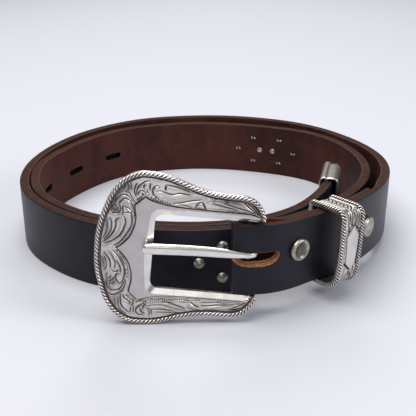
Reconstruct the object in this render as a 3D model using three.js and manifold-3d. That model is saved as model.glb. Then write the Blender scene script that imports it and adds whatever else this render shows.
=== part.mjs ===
// A coiled western belt with its ranger buckle, keeper and strap tip.
// Units are millimetres and +Z is up. The strap stands on its lower edge and runs
// twice round: the first turn starts at the buckle's bar, the second lies inside it.
// Seen from above, the strap's black face looks out of the coil.
import * as THREE from "three";
import { mergeVertices } from "three/addons/utils/BufferGeometryUtils.js";
import Module from "manifold-3d";

const wasm = await Module();
wasm.setup();

// Strap
const STRAP_WIDTH = 25.4;
const STRAP_THICKNESS = 3.8;
const STATION_STEP = 4;
const NEST_GAP = 0.5;
const CLEARANCE = 0.3;
const CUT_MARGIN = 0.5;
const LINE_SAMPLES_PER_MM = 4;
const TANGENT_REACH = 0.5;
const SEARCH_STEPS = 40;

// The black face in plan, from the bar and counterclockwise round, as seen from above
const FIRST_TURN = [
  [13.2, -87.2], [21, -85], [28.5, -80.9], [36, -75], [44.5, -68], [53, -59.6],
  [60.5, -50], [66.8, -40], [71.6, -29.8], [75.4, -18.6], [77.9, -6.5], [78.9, 5],
  [78.2, 18], [74.8, 33], [66, 51.5], [50.5, 69], [30, 80.3], [8, 85.6],
  [-14, 84.8], [-35, 79], [-53, 66.2], [-67, 48.5], [-76.2, 27.5], [-80.4, 4.5],
  [-78.8, -16.5], [-72, -35], [-59.5, -50.2], [-42, -62.4], [-21, -68.2], [0, -68.9],
  [15, -65.8], [31, -58.4], [46, -46.8],
];
const SECOND_TURN = [
  [57.5, -34], [66, -19.5], [71, -2], [71.2, 14], [66.4, 33.5], [54.5, 52], [36, 63.3],
  [16, 69.8], [-6, 72.2], [-27, 68.4], [-46, 59.2], [-60.5, 43], [-70.2, 25],
];
const NESTED_FROM = 23;
const NESTED_TO = 30;
const TAIL = [[26.5, -56.2], [37.5, -47.6], [46, -35.5], [51.2, -23.5], [54.1, -12.5], [57, -1.5]];

// Fold round the bar
const FOLD_LIFT = 8.8;
const FOLD_RISE = 0.9;
const FOLD_RISE_RUN = 30;
const LIFT_RUN = 170;
const FRONT_LAYER = 2.4;
const FLAP = 1.8;
const FLAP_LENGTH = 68;
const THICKENING = 14;
const LOOP_RADIUS = 2.5;
const LOOP_OPEN = 4;
const LOOP_CLOSING = 14;
const BEND_STEPS = 10;
const SLOT_LEFT = -8;
const SLOT_RIGHT = 11;
const SLOT_HALF_HEIGHT = 3.1;
const SLOT_RISE = 1;
const SLOT_CUT = [-12, 4];

// Adjusting holes and tail
const HOLE_COUNT = 5;
const HOLE_PITCH = 28;
const HOLE_LENGTH = 10.5;
const HOLE_WIDTH = 3;
const FIRST_HOLE_AT = 777;
const TAIL_LIFT = 1.8;
const TAIL_LIFT_RUN = 50;
const TAIL_LEVEL = 26;

// Buckle frame, in its own plane: x along the strap, y up the bar, z out of the belt
const BUCKLE_AT = [13.2, -87.2, 22.6];
const BUCKLE_YAW = 1.5;
const BUCKLE_LEAN = 3;
const BUCKLE_ROLL = 6.2;
const HALF_OUTLINE = [
  [-50, 0], [-49.7, 5.4], [-48.9, 10.3], [-47.9, 14.3], [-46.3, 18], [-43.9, 21.6],
  [-41.2, 24], [-37.4, 25.8], [-34, 26.2], [-30.5, 25.8], [-26.6, 24.8], [-21.7, 23.1],
  [-16.7, 21.8], [-11.8, 21], [-6.9, 20.8], [-3.4, 20.4], [-1, 19.3], [1.2, 17.5],
  [2.8, 15.7], [3.6, 14.4],
];
const WINDOW_LEFT = -31.5;
const WINDOW_HALF = 13.3;
const WINDOW_CORNER = 3;
const PLATE = 2.8;
const ROPE_WIDTH = 1.8;
const ROPE_RISE = 0.7;
const ROPE_INSET = 0.01;
const ROPE_ROOT = 0.4;
const BAR_RADIUS = 1.6;
const BAR_DEPTH = 5;
const BOSS_HALF_LENGTH = 2.6;
const BOSS_WIDTH = 3;
const BOSS_ROOT = -1;
const BOSS_WALL = 0.4;

// Prong
const PRONG_OFFSET = 1.2;
const PRONG_EYE_HOLE = 1.95;
const PRONG_EYE = 3.2;
const PRONG_WIDTH = 3.2;
const PRONG_TIP = -34.6;
const PRONG_TOP = [[-6, 1.4], [-14, 2.6], [-24, 3], [-32.4, 3.1]];
const PRONG_UNDERSIDE = [[-24, 0.1], [-12, -0.9], [-5.4, -3.4], [-2.9, -5]];

// Keeper
const KEEPER_AT = 36.9;
const KEEPER_TILT = 4;
const KEEPER_WIDTH = 11;
const KEEPER_WALL = 1.3;
const KEEPER_CORNER = 5;
const KEEPER_INNER_CORNER = 2.2;
const KEEPER_FRONT_ROOM = 6.8;
const KEEPER_BACK_ROOM = 1.9;
const KEEPER_TOP_ROOM = 0.5;
const KEEPER_BOTTOM_ROOM = 0.9;
const KEEPER_RIM_WIDTH = 1.7;
const KEEPER_RIM_RISE = 0.6;

// Fasteners
const RIVETS = [{ at: 19.5, up: 1.6 }, { at: 59.6, up: 0 }];
const RIVET_HEAD = [[4.1, 0], [4.1, 0.8], [3.4, 1.5], [2.6, 1.2], [0, 0.8]];
const RIVET_POST = 1.5;
const RIVET_HOLE = 1.85;
const RIVET_CAP = [[0, -1], [2.8, -1], [3.4, -0.5], [3.4, 0]];
const RIVET_BACK_ROOM = 0.7;
const RIVET_CUT = [-9, 3];
const STUD_DOME = [[0, 0], [2.2, 0], [2.2, 0.3], [1.7, 1], [1, 1.4], [0, 1.5]];
const CLUSTER_END = 15.6;
const CLUSTER_COLUMN = 7.25;
const CLUSTER_ROW = 6.2;
const CLUSTER_POST = 3.6;
const POST_CAP = [[2.6, 0], [2.6, 0.8], [0, 1.2]];
const POST_CLINCH = [[0, -0.5], [1.9, -0.5], [2.2, 0]];
const POST_ROOM = 0.4;
const POST_RADIUS = 1.3;
const POST_HOLE = 1.6;
const FRONT_CLUSTER = { x: 12.25, from: 460, to: 580 };
const BACK_CLUSTER = { x: 32, from: 650, to: 750 };

// Strap tip
const TIP_LENGTH = 33;
const TIP_STRAIGHT = 22;
const TIP_DEPTH = 25;
const TIP_WALL = 1.2;
const TIP_ROOM = 0.55;
const TIP_BACK = 2.2;
const TIP_GROOVE = 0.6;
const TIP_GROOVE_DEPTH = 0.7;
const TIP_OVERLAP = 0.2;
const TIP_CURVE_REACH = 6;

const BLACK_LEATHER = { color: 0x17181c, roughness: 0.5, metalness: 0 };
const SILVER = { color: 0xc9c7c2, roughness: 0.3, metalness: 1 };
const DULL_NICKEL = { color: 0x9b968c, roughness: 0.4, metalness: 1 };

const DEGREE = Math.PI / 180;

const smooth = (t) => {
  const u = Math.min(Math.max(t, 0), 1);
  return u * u * (3 - 2 * u);
};

// Natural cubic spline through plan points, measured by its own length
class StrapLine {
  constructor(points) {
    this.points = points;
    this.knots = [0];
    for (let i = 1; i < points.length; i++) {
      const dx = points[i][0] - points[i - 1][0];
      const dy = points[i][1] - points[i - 1][1];
      this.knots.push(this.knots[i - 1] + Math.hypot(dx, dy));
    }
    this.bend = [0, 1].map((axis) => this.secondDerivatives(axis));
    this.buildTable();
  }

  secondDerivatives(axis) {
    const n = this.points.length;
    const p = this.points.map((point) => point[axis]);
    const h = this.knots.slice(1).map((k, i) => k - this.knots[i]);
    const ratio = new Array(n).fill(0);
    const load = new Array(n).fill(0);
    for (let i = 1; i < n - 1; i++) {
      const rhs = 6 * ((p[i + 1] - p[i]) / h[i] - (p[i] - p[i - 1]) / h[i - 1]);
      const pivot = 2 * (h[i - 1] + h[i]) - h[i - 1] * ratio[i - 1];
      ratio[i] = h[i] / pivot;
      load[i] = (rhs - h[i - 1] * load[i - 1]) / pivot;
    }
    const m = new Array(n).fill(0);
    for (let i = n - 2; i > 0; i--) {
      m[i] = load[i] - ratio[i] * m[i + 1];
    }
    return m;
  }

  atKnot(k) {
    let i = 0;
    while (i < this.knots.length - 2 && k > this.knots[i + 1]) i++;
    const h = this.knots[i + 1] - this.knots[i];
    const b = (k - this.knots[i]) / h;
    const a = 1 - b;
    return [0, 1].map((axis) => {
      const m = this.bend[axis];
      const line = a * this.points[i][axis] + b * this.points[i + 1][axis];
      return line + ((a ** 3 - a) * m[i] + (b ** 3 - b) * m[i + 1]) * h * h / 6;
    });
  }

  buildTable() {
    const last = this.knots[this.knots.length - 1];
    const count = Math.ceil(last * LINE_SAMPLES_PER_MM);
    this.table = [[0, 0]];
    let before = this.atKnot(0);
    for (let i = 1; i <= count; i++) {
      const k = (last * i) / count;
      const here = this.atKnot(k);
      const step = Math.hypot(here[0] - before[0], here[1] - before[1]);
      this.table.push([this.table[i - 1][0] + step, k]);
      before = here;
    }
    this.length = this.table[count][0];
  }

  knotAt(s) {
    const found = this.table.findIndex((row) => row[0] >= s);
    const i = found < 1 ? 1 : found;
    const [s0, k0] = this.table[i - 1];
    const [s1, k1] = this.table[i];
    return k0 + ((k1 - k0) * (s - s0)) / (s1 - s0);
  }

  point(s) {
    return new THREE.Vector3(...this.atKnot(this.knotAt(s)), 0);
  }

  tangent(s) {
    const from = Math.max(s - TANGENT_REACH, 0);
    const to = Math.min(s + TANGENT_REACH, this.length);
    return this.point(to).sub(this.point(from)).normalize();
  }

  inward(s) {
    const t = this.tangent(s);
    return new THREE.Vector3(-t.y, t.x, 0);
  }

  // Length at which the line passes a given x between two lengths
  lengthAtX({ x, from, to }) {
    let [low, high] = [from, to];
    const rising = this.point(to).x > this.point(from).x;
    for (let i = 0; i < SEARCH_STEPS; i++) {
      const middle = (low + high) / 2;
      if (this.point(middle).x < x === rising) low = middle;
      else high = middle;
    }
    return (low + high) / 2;
  }
}

// A first-turn point moved inward by one thickness, so that the next turn nests in it
function nestedPoint(index) {
  const [ax, ay] = FIRST_TURN[index - 1];
  const [bx, by] = FIRST_TURN[index + 1];
  const [x, y] = FIRST_TURN[index];
  const shift = (STRAP_THICKNESS + NEST_GAP) / Math.hypot(bx - ax, by - ay);
  return [x - (by - ay) * shift, y + (bx - ax) * shift];
}

const nested = [];
for (let i = NESTED_FROM; i <= NESTED_TO; i++) {
  nested.push(nestedPoint(i));
}
const line = new StrapLine([...FIRST_TURN, ...SECOND_TURN, ...nested, ...TAIL]);

const liftAt = (s) => {
  const rise = FOLD_RISE * Math.max(1 - s / FOLD_RISE_RUN, 0) ** 2;
  const fold = FOLD_LIFT * (1 - smooth(s / LIFT_RUN)) + rise;
  const tail = TAIL_LIFT * smooth((s - line.length + TAIL_LEVEL + TAIL_LIFT_RUN) / TAIL_LIFT_RUN);
  return fold + tail;
};

const thicknessAt = (s) => {
  const full = smooth((s - FLAP_LENGTH - 1) / THICKENING);
  return FRONT_LAYER + (STRAP_THICKNESS - FRONT_LAYER) * full;
};

const openingAt = (s) => {
  const closed = smooth((s - LOOP_OPEN) / LOOP_CLOSING);
  return 2 * LOOP_RADIUS + (CLEARANCE - 2 * LOOP_RADIUS) * closed;
};

// Pairs of plan points across the leather, from the flap's end to the tail's end
function strapStations() {
  const stations = [];
  const flapSteps = Math.round(FLAP_LENGTH / STATION_STEP);
  for (let i = flapSteps; i >= 0; i--) {
    const s = (FLAP_LENGTH * i) / flapSteps;
    const inward = line.inward(s);
    const flesh = line.point(s).addScaledVector(inward, FRONT_LAYER + openingAt(s));
    const black = flesh.clone().addScaledVector(inward, FLAP);
    stations.push({ black, flesh, lift: liftAt(s) });
  }
  const inward = line.inward(0);
  const back = line.tangent(0).negate();
  const centre = line.point(0).addScaledVector(inward, FRONT_LAYER + LOOP_RADIUS);
  for (let i = 1; i < BEND_STEPS; i++) {
    const angle = (Math.PI * i) / BEND_STEPS;
    const away = inward.clone().multiplyScalar(Math.cos(angle));
    away.addScaledVector(back, Math.sin(angle));
    const thickness = FLAP + ((FRONT_LAYER - FLAP) * i) / BEND_STEPS;
    const flesh = centre.clone().addScaledVector(away, LOOP_RADIUS);
    const black = centre.clone().addScaledVector(away, LOOP_RADIUS + thickness);
    stations.push({ black, flesh, lift: liftAt(0) });
  }
  const steps = Math.round(line.length / STATION_STEP);
  for (let i = 0; i <= steps; i++) {
    const s = (line.length * i) / steps;
    const black = line.point(s);
    const flesh = black.clone().addScaledVector(line.inward(s), thicknessAt(s));
    stations.push({ black, flesh, lift: liftAt(s) });
  }
  return stations;
}

// Closed body with one rectangular section at each station
function strapBody() {
  const positions = [];
  const indices = [];
  const stations = strapStations();
  stations.forEach(({ black, flesh, lift }) => {
    positions.push(black.x, black.y, lift, black.x, black.y, lift + STRAP_WIDTH);
    positions.push(flesh.x, flesh.y, lift + STRAP_WIDTH, flesh.x, flesh.y, lift);
  });
  for (let i = 0; i < stations.length - 1; i++) {
    for (let side = 0; side < 4; side++) {
      const a = 4 * i + side;
      const b = 4 * i + ((side + 1) % 4);
      indices.push(a, a + 4, b + 4, a, b + 4, b);
    }
  }
  const end = 4 * (stations.length - 1);
  indices.push(0, 1, 2, 0, 2, 3, end, end + 2, end + 1, end, end + 3, end + 2);
  const geometry = new THREE.BufferGeometry();
  geometry.setAttribute("position", new THREE.Float32BufferAttribute(positions, 3));
  geometry.setIndex(indices);
  return geometry;
}

function toSolid(geometry) {
  const bare = geometry.clone();
  bare.deleteAttribute("normal");
  bare.deleteAttribute("uv");
  const merged = mergeVertices(bare, 1e-4);
  const vertProperties = Float32Array.from(merged.attributes.position.array);
  const triVerts = Uint32Array.from(merged.index.array);
  return new wasm.Manifold(new wasm.Mesh({ numProp: 3, vertProperties, triVerts }));
}

function toGeometry(solid) {
  const mesh = solid.getMesh();
  const geometry = new THREE.BufferGeometry();
  geometry.setAttribute("position", new THREE.BufferAttribute(mesh.vertProperties, 3));
  geometry.setIndex(new THREE.BufferAttribute(mesh.triVerts, 1));
  return geometry;
}

function join(geometries) {
  return toGeometry(geometries.map(toSolid).reduce((all, next) => all.add(next)));
}

function cut(geometry, tools) {
  const start = toSolid(geometry);
  return toGeometry(tools.map(toSolid).reduce((all, next) => all.subtract(next), start));
}

function extrude(shape, from, to, curveSegments = 8) {
  const options = { depth: to - from, bevelEnabled: false, curveSegments };
  return new THREE.ExtrudeGeometry(shape, options).translate(0, 0, from);
}

// Cutter through one thickness of the strap
function punch(shape) {
  return extrude(shape, -STRAP_THICKNESS - CUT_MARGIN, CUT_MARGIN);
}

// Frame on the black face: x along the strap, y up, z out of the coil
function faceMatrix(s, up = 0) {
  const along = line.tangent(s);
  const out = line.inward(s).negate();
  const origin = line.point(s);
  origin.z = liftAt(s) + STRAP_WIDTH / 2 + up;
  const matrix = new THREE.Matrix4().makeBasis(along, new THREE.Vector3(0, 0, 1), out);
  return matrix.setPosition(origin);
}

function longHole(length, width) {
  const shape = new THREE.Shape();
  const reach = (length - width) / 2;
  shape.absarc(reach, 0, width / 2, -Math.PI / 2, Math.PI / 2, false);
  shape.absarc(-reach, 0, width / 2, Math.PI / 2, (3 * Math.PI) / 2, false);
  return shape;
}

function disc(radius) {
  return new THREE.Shape().absarc(0, 0, radius, 0, 2 * Math.PI, false);
}

const frontCluster = line.lengthAtX(FRONT_CLUSTER);
const backCluster = line.lengthAtX(BACK_CLUSTER);

const CLUSTER_STUDS = [
  [-CLUSTER_END, 0], [-CLUSTER_COLUMN, CLUSTER_ROW], [-CLUSTER_COLUMN, -CLUSTER_ROW],
  [CLUSTER_COLUMN, CLUSTER_ROW], [CLUSTER_COLUMN, -CLUSTER_ROW], [CLUSTER_END, 0],
];

function foldSlot() {
  const shape = longHole(SLOT_RIGHT - SLOT_LEFT, 2 * SLOT_HALF_HEIGHT);
  const geometry = extrude(shape, ...SLOT_CUT);
  geometry.translate((SLOT_RIGHT + SLOT_LEFT) / 2, SLOT_RISE, 0);
  return geometry.applyMatrix4(faceMatrix(0));
}

function makeStrap() {
  const cutters = [foldSlot()];
  for (let i = 0; i < HOLE_COUNT; i++) {
    const hole = punch(longHole(HOLE_LENGTH, HOLE_WIDTH));
    cutters.push(hole.applyMatrix4(faceMatrix(FIRST_HOLE_AT + i * HOLE_PITCH)));
  }
  RIVETS.forEach(({ at, up }) => {
    cutters.push(extrude(disc(RIVET_HOLE), ...RIVET_CUT).applyMatrix4(faceMatrix(at, up)));
  });
  [-CLUSTER_POST, CLUSTER_POST].forEach((along) => {
    cutters.push(punch(disc(POST_HOLE)).applyMatrix4(faceMatrix(backCluster + along)));
  });
  return cut(strapBody(), cutters);
}

// Half of the outer outline moved inward by a distance, from the left end to the arm's end
function halfOutline(inset) {
  const points = HALF_OUTLINE.map(([x, y]) => new THREE.Vector2(x, y));
  const curve = new THREE.SplineCurve(points);
  return curve.getPoints(3 * points.length).map((point, i, all) => {
    const before = all[Math.max(i - 1, 0)];
    const after = all[Math.min(i + 1, all.length - 1)];
    const along = i === 0 ? new THREE.Vector2(0, 1) : after.clone().sub(before).normalize();
    return new THREE.Vector2(point.x + along.y * inset, point.y - along.x * inset);
  });
}

function mirrored(points) {
  return points.map((point) => new THREE.Vector2(point.x, -point.y)).reverse();
}

function wholeOutline(inset) {
  const upper = halfOutline(inset);
  return [...mirrored(upper).slice(0, -1), ...upper];
}

function plateShape() {
  const end = HALF_OUTLINE[HALF_OUTLINE.length - 1][0];
  const corner = new THREE.Vector2(WINDOW_LEFT + WINDOW_CORNER, WINDOW_HALF - WINDOW_CORNER);
  const shape = new THREE.Shape(wholeOutline(0));
  shape.lineTo(end, WINDOW_HALF);
  shape.absarc(corner.x, corner.y, WINDOW_CORNER, Math.PI / 2, Math.PI, false);
  shape.absarc(corner.x, -corner.y, WINDOW_CORNER, Math.PI, 1.5 * Math.PI, false);
  shape.lineTo(end, -WINDOW_HALF);
  return shape;
}

// One piece: the plate with its open window, the rope edge, the bar and its two bosses
function makeBuckleFrame() {
  const inside = wholeOutline(ROPE_WIDTH).reverse();
  const rope = new THREE.Shape([...wholeOutline(ROPE_INSET), ...inside]);
  const bar = new THREE.CylinderGeometry(BAR_RADIUS, BAR_RADIUS, 2 * WINDOW_HALF + 2, 20);
  const pieces = [
    extrude(plateShape(), -PLATE, 0, 4),
    extrude(rope, ROPE_ROOT - PLATE, ROPE_RISE),
    bar.translate(0, 0, -BAR_DEPTH),
  ];
  [-1, 1].forEach((side) => {
    const depth = BAR_DEPTH + BAR_RADIUS + BOSS_WALL + BOSS_ROOT;
    const boss = new THREE.BoxGeometry(2 * BOSS_HALF_LENGTH, BOSS_WIDTH, depth);
    const middle = side * (WINDOW_HALF + BOSS_WIDTH / 2);
    pieces.push(boss.translate(0, middle, BOSS_ROOT - depth / 2));
  });
  return join(pieces);
}

// Eye round the bar and a shank that rises to lie on the frame's left side
function makeProng() {
  const corners = (points) => points.map(([x, y]) => new THREE.Vector2(x, y));
  const round = (radius) => new THREE.Shape().absarc(0, -BAR_DEPTH, radius, 0, 2 * Math.PI, false);
  const [endX, top] = PRONG_TOP[PRONG_TOP.length - 1];
  const [rootX, rootY] = PRONG_UNDERSIDE[PRONG_UNDERSIDE.length - 1];
  const shank = new THREE.Shape();
  shank.moveTo(rootX / 4, rootY + PRONG_EYE - CUT_MARGIN / 2);
  shank.splineThru(corners(PRONG_TOP));
  shank.quadraticCurveTo(PRONG_TIP, top, PRONG_TIP, top / 2);
  shank.quadraticCurveTo(PRONG_TIP, CLEARANCE, endX, CLEARANCE);
  shank.lineTo(WINDOW_LEFT, CLEARANCE);
  shank.splineThru(corners(PRONG_UNDERSIDE));
  const body = join([extrude(round(PRONG_EYE), 0, PRONG_WIDTH, 14), extrude(shank, 0, PRONG_WIDTH, 6)]);
  const hole = extrude(round(PRONG_EYE_HOLE), -CUT_MARGIN, PRONG_WIDTH + CUT_MARGIN, 14);
  const geometry = cut(body, [hole]).rotateX(Math.PI / 2);
  return geometry.translate(0, PRONG_OFFSET + PRONG_WIDTH / 2, 0);
}

function roundedRect(left, right, bottom, top, radius) {
  const shape = new THREE.Shape();
  shape.absarc(right - radius, top - radius, radius, 0, Math.PI / 2, false);
  shape.absarc(left + radius, top - radius, radius, Math.PI / 2, Math.PI, false);
  shape.absarc(left + radius, bottom + radius, radius, Math.PI, 1.5 * Math.PI, false);
  shape.absarc(right - radius, bottom + radius, radius, 1.5 * Math.PI, 2 * Math.PI, false);
  return shape;
}

// Ring seen along the strap: x out of the coil, y up, z back along the strap
function keeperRing(rise) {
  const back = -(FRONT_LAYER + CLEARANCE + FLAP + KEEPER_BACK_ROOM);
  const top = STRAP_WIDTH / 2 + KEEPER_TOP_ROOM;
  const bottom = -STRAP_WIDTH / 2 - KEEPER_BOTTOM_ROOM;
  const wall = KEEPER_WALL + rise;
  const shape = roundedRect(
    back - wall, KEEPER_FRONT_ROOM + wall, bottom - wall, top + wall, KEEPER_CORNER + rise,
  );
  const inner = roundedRect(back, KEEPER_FRONT_ROOM, bottom, top, KEEPER_INNER_CORNER);
  shape.holes.push(inner);
  return shape;
}

function makeKeeper() {
  const half = KEEPER_WIDTH / 2;
  const geometry = join([
    extrude(keeperRing(0), -half, half, 6),
    extrude(keeperRing(KEEPER_RIM_RISE), -half, KEEPER_RIM_WIDTH - half, 6),
    extrude(keeperRing(KEEPER_RIM_RISE), half - KEEPER_RIM_WIDTH, half, 6),
  ]);
  const turn = new THREE.Matrix4().makeBasis(
    new THREE.Vector3(0, 0, 1), new THREE.Vector3(0, 1, 0), new THREE.Vector3(-1, 0, 0),
  );
  return geometry.applyMatrix4(turn).rotateZ(-KEEPER_TILT * DEGREE);
}

function lathe(profile, segments) {
  const points = profile.map(([radius, height]) => new THREE.Vector2(radius, height));
  return new THREE.LatheGeometry(points, segments).rotateX(Math.PI / 2);
}

const raised = (profile, height) => profile.map(([radius, up]) => [radius, up + height]);

// Cap behind the leather, a post through it and a head on the black face
function fastener(cap, behind, post, head) {
  return [...raised(cap, behind), [post, behind], [post, CLEARANCE], ...raised(head, CLEARANCE)];
}

function makeRivet(s) {
  const behind = -(FRONT_LAYER + openingAt(s) + FLAP + RIVET_BACK_ROOM);
  return lathe(fastener(RIVET_CAP, behind, RIVET_POST, RIVET_HEAD), 24);
}

function makeStud() {
  return lathe(raised(STUD_DOME, CLEARANCE), 14);
}

function makePost() {
  return lathe(fastener(POST_CLINCH, -STRAP_THICKNESS - POST_ROOM, POST_RADIUS, POST_CAP), 16);
}

// Outline seen square to the strap: straight mouth at x = 0, round end at TIP_LENGTH
function tipOutline(inset) {
  const half = STRAP_WIDTH / 2 + TIP_ROOM + TIP_WALL - inset;
  const end = TIP_LENGTH - inset;
  const shape = new THREE.Shape();
  shape.moveTo(0, -half);
  shape.lineTo(TIP_STRAIGHT, -half);
  const reach = TIP_STRAIGHT + TIP_CURVE_REACH;
  shape.bezierCurveTo(reach, -half, end, -half / 2, end, 0);
  shape.bezierCurveTo(end, half / 2, reach, half, TIP_STRAIGHT, half);
  shape.lineTo(0, half);
  return shape;
}

function makeTip() {
  const flesh = -(STRAP_THICKNESS + TIP_ROOM);
  const back = flesh - TIP_WALL;
  const front = TIP_ROOM + TIP_WALL;
  const groove = back + TIP_BACK;
  const shell = join([
    extrude(tipOutline(0), back, groove),
    extrude(tipOutline(TIP_GROOVE_DEPTH), groove - TIP_OVERLAP, groove + TIP_GROOVE + TIP_OVERLAP),
    extrude(tipOutline(0), groove + TIP_GROOVE, front),
  ]);
  const height = STRAP_WIDTH + 2 * TIP_ROOM;
  const depth = STRAP_THICKNESS + 2 * TIP_ROOM;
  const pocket = new THREE.BoxGeometry(TIP_DEPTH + 2, height, depth);
  pocket.translate(TIP_DEPTH / 2, 0, flesh + depth / 2);
  return cut(shell, [pocket]).translate(-TIP_DEPTH / 2, 0, 0);
}

const belt = new THREE.Group();

function addPiece(parent, name, geometry, look) {
  const mesh = new THREE.Mesh(geometry, new THREE.MeshStandardMaterial(look));
  mesh.name = name;
  parent.add(mesh);
  return mesh;
}

function placeAlongStrap(mesh, s, up = 0) {
  faceMatrix(s, up).decompose(mesh.position, mesh.quaternion, mesh.scale);
}

addPiece(belt, "strap", makeStrap(), BLACK_LEATHER);

const buckle = new THREE.Group();
buckle.rotation.order = "ZXY";
buckle.rotation.set(Math.PI / 2 - BUCKLE_LEAN * DEGREE, 0, BUCKLE_YAW * DEGREE);
buckle.rotateZ(-BUCKLE_ROLL * DEGREE);
buckle.position.set(...BUCKLE_AT);
belt.add(buckle);
addPiece(buckle, "buckle_frame", makeBuckleFrame(), SILVER);
addPiece(buckle, "buckle_prong", makeProng(), SILVER);

placeAlongStrap(addPiece(belt, "keeper", makeKeeper(), SILVER), KEEPER_AT);
placeAlongStrap(addPiece(belt, "strap_tip", makeTip(), SILVER), line.length - TIP_DEPTH / 2);

RIVETS.forEach(({ at, up }, i) => {
  placeAlongStrap(addPiece(belt, `fold_rivet_${i + 1}`, makeRivet(at), DULL_NICKEL), at, up);
});
[["front_stud", frontCluster], ["back_stud", backCluster]].forEach(([name, middle]) => {
  CLUSTER_STUDS.forEach(([along, up], i) => {
    const stud = addPiece(belt, `${name}_${i + 1}`, makeStud(), DULL_NICKEL);
    placeAlongStrap(stud, middle + along, up);
  });
});
[-CLUSTER_POST, CLUSTER_POST].forEach((along, i) => {
  const post = addPiece(belt, `back_post_${i + 1}`, makePost(), DULL_NICKEL);
  placeAlongStrap(post, backCluster + along);
});

// The origin is the middle of the belt's box, on the surface that it stands on
belt.updateMatrixWorld(true);
const box = new THREE.Box3().setFromObject(belt, true);
const middle = box.getCenter(new THREE.Vector3());
belt.position.set(-middle.x, -middle.y, -box.min.z);

export default belt;
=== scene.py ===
"""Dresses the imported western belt: leather strap, engraved buckle, keeper, tip and fasteners.

Lengths inside the shape functions are millimetres in the frame's own axes, and
make_piece turns them into metres. Every shape is a numpy grid of two parameters.
"""

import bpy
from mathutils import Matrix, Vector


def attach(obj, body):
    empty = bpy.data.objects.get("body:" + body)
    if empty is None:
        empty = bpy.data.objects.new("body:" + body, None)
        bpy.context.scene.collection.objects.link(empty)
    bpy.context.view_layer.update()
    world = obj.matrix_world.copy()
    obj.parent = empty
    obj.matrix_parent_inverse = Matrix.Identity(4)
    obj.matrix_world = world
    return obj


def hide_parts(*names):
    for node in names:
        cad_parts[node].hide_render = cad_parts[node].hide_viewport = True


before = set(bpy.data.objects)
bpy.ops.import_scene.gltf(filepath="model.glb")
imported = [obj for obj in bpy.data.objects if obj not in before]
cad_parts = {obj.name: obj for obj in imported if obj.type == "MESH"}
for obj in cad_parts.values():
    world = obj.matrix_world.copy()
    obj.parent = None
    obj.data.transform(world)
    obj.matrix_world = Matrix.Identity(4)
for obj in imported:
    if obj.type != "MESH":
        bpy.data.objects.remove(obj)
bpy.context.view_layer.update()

import math

import bmesh
import bpy
import numpy as np
from bpy.props import FloatProperty, FloatVectorProperty, IntProperty, PointerProperty

bl_info = {
    "name": "Western belt dressing",
    "version": (1, 0, 0),
    "blender": (4, 5, 0),
    "location": "View3D > Sidebar > Belt",
    "description": "Builds the leather, engraved silver and fasteners of a coiled western belt",
    "category": "Object",
}

MM = 0.001
PART_SHIFT = np.array([0.79655, 2.52958, 0.0])

# Strap, in the order that it runs: points of the black face seen from above
STRAP_WIDTH, STRAP_THICKNESS, CORNER, NEST_GAP = 25.4, 3.8, 0.4, 0.5
FIRST_TURN = [
    (13.2, -87.2), (21, -85), (28.5, -80.9), (36, -75), (44.5, -68), (53, -59.6),
    (60.5, -50), (66.8, -40), (71.6, -29.8), (75.4, -18.6), (77.9, -6.5), (78.9, 5),
    (78.2, 18), (74.8, 33), (66, 51.5), (50.5, 69), (30, 80.3), (8, 85.6),
    (-14, 84.8), (-35, 79), (-53, 66.2), (-67, 48.5), (-76.2, 27.5), (-80.4, 4.5),
    (-78.8, -16.5), (-72, -35), (-59.5, -50.2), (-42, -62.4), (-21, -68.2), (0, -68.9),
    (15, -65.8), (31, -58.4), (46, -46.8),
]
SECOND_TURN = [
    (57.5, -34), (66, -19.5), (71, -2), (71.2, 14), (66.4, 33.5), (54.5, 52), (36, 63.3),
    (16, 69.8), (-6, 72.2), (-27, 68.4), (-46, 59.2), (-60.5, 43), (-70.2, 25),
]
# Numbers of FIRST_TURN's points that the second turn follows, one thickness and a gap further in
NESTED = range(23, 31)
TAIL = [(26.5, -56.2), (37.5, -47.6), (46, -35.5), (51.2, -23.5), (54.1, -12.5), (57, -1.5)]
# Fold round the bar: its height above the floor, and the thickness and the room of its layers
FOLD_LIFT, FOLD_RISE, FOLD_RISE_RUN, LIFT_RUN = 8.8, 0.9, 30, 170
FRONT_LAYER, FLAP, FLAP_LENGTH, THICKENING = 2.4, 1.8, 68, 14
LOOP_RADIUS, LOOP_OPEN, LOOP_CLOSING, LAYER_GAP = 2.5, 4, 14, 0.3
# Length of the strap round the bar, and where the prong's slot ends on the black face
BEND_LENGTH, SLOT_RIGHT = 11.6, 11
TAIL_LIFT, TAIL_LIFT_RUN, TAIL_LEVEL = 1.8, 50, 26
# Holes, and how much shorter and narrower they look than they were stamped
HOLE_COUNT, HOLE_PITCH, HOLE_LENGTH, HOLE_WIDTH, FIRST_HOLE_AT = 5, 28, 10.5, 3, 777
HOLE_CLOSED = (0.2, 0.35)
# Half width and raised middle of the visible slot, and where its wall turns from dyed to fresh
SLOT_VISIBLE, SLOT_UP, SLOT_FRESH_FROM = 2.45, 0.4, -6.0
# The slot along u: how wide it is open, and how far its middle lies higher
SLOT_LENS = np.array([(-23, 0.62, 0.9), (-8, 0.62, 0.9), (-5.5, 0.66, 0.85), (-2.5, 0.9, 0.25),
                      (0.5, 0.98, 0.0), (5, 1.0, 0.0), (8, 0.9, 0.25), (9.8, 0.8, 0.8), (11, 0.72, 1.25)])
# How far the slot's lower lip splays out, and the radius of the lip of a hole and of the slot
SLOT_SPLAY, HOLE_LIP, SLOT_LIP = 1.1, 0.35, 0.3
# Strap's section: points on each face, in each corner and across each cut edge
FACE_POINTS, CORNER_POINTS, EDGE_POINTS = 17, 3, 6
EDGE_START = FACE_POINTS + CORNER_POINTS
FLESH_START = EDGE_START + EDGE_POINTS + CORNER_POINTS
LOWER_START = FLESH_START + FACE_POINTS + CORNER_POINTS
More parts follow.
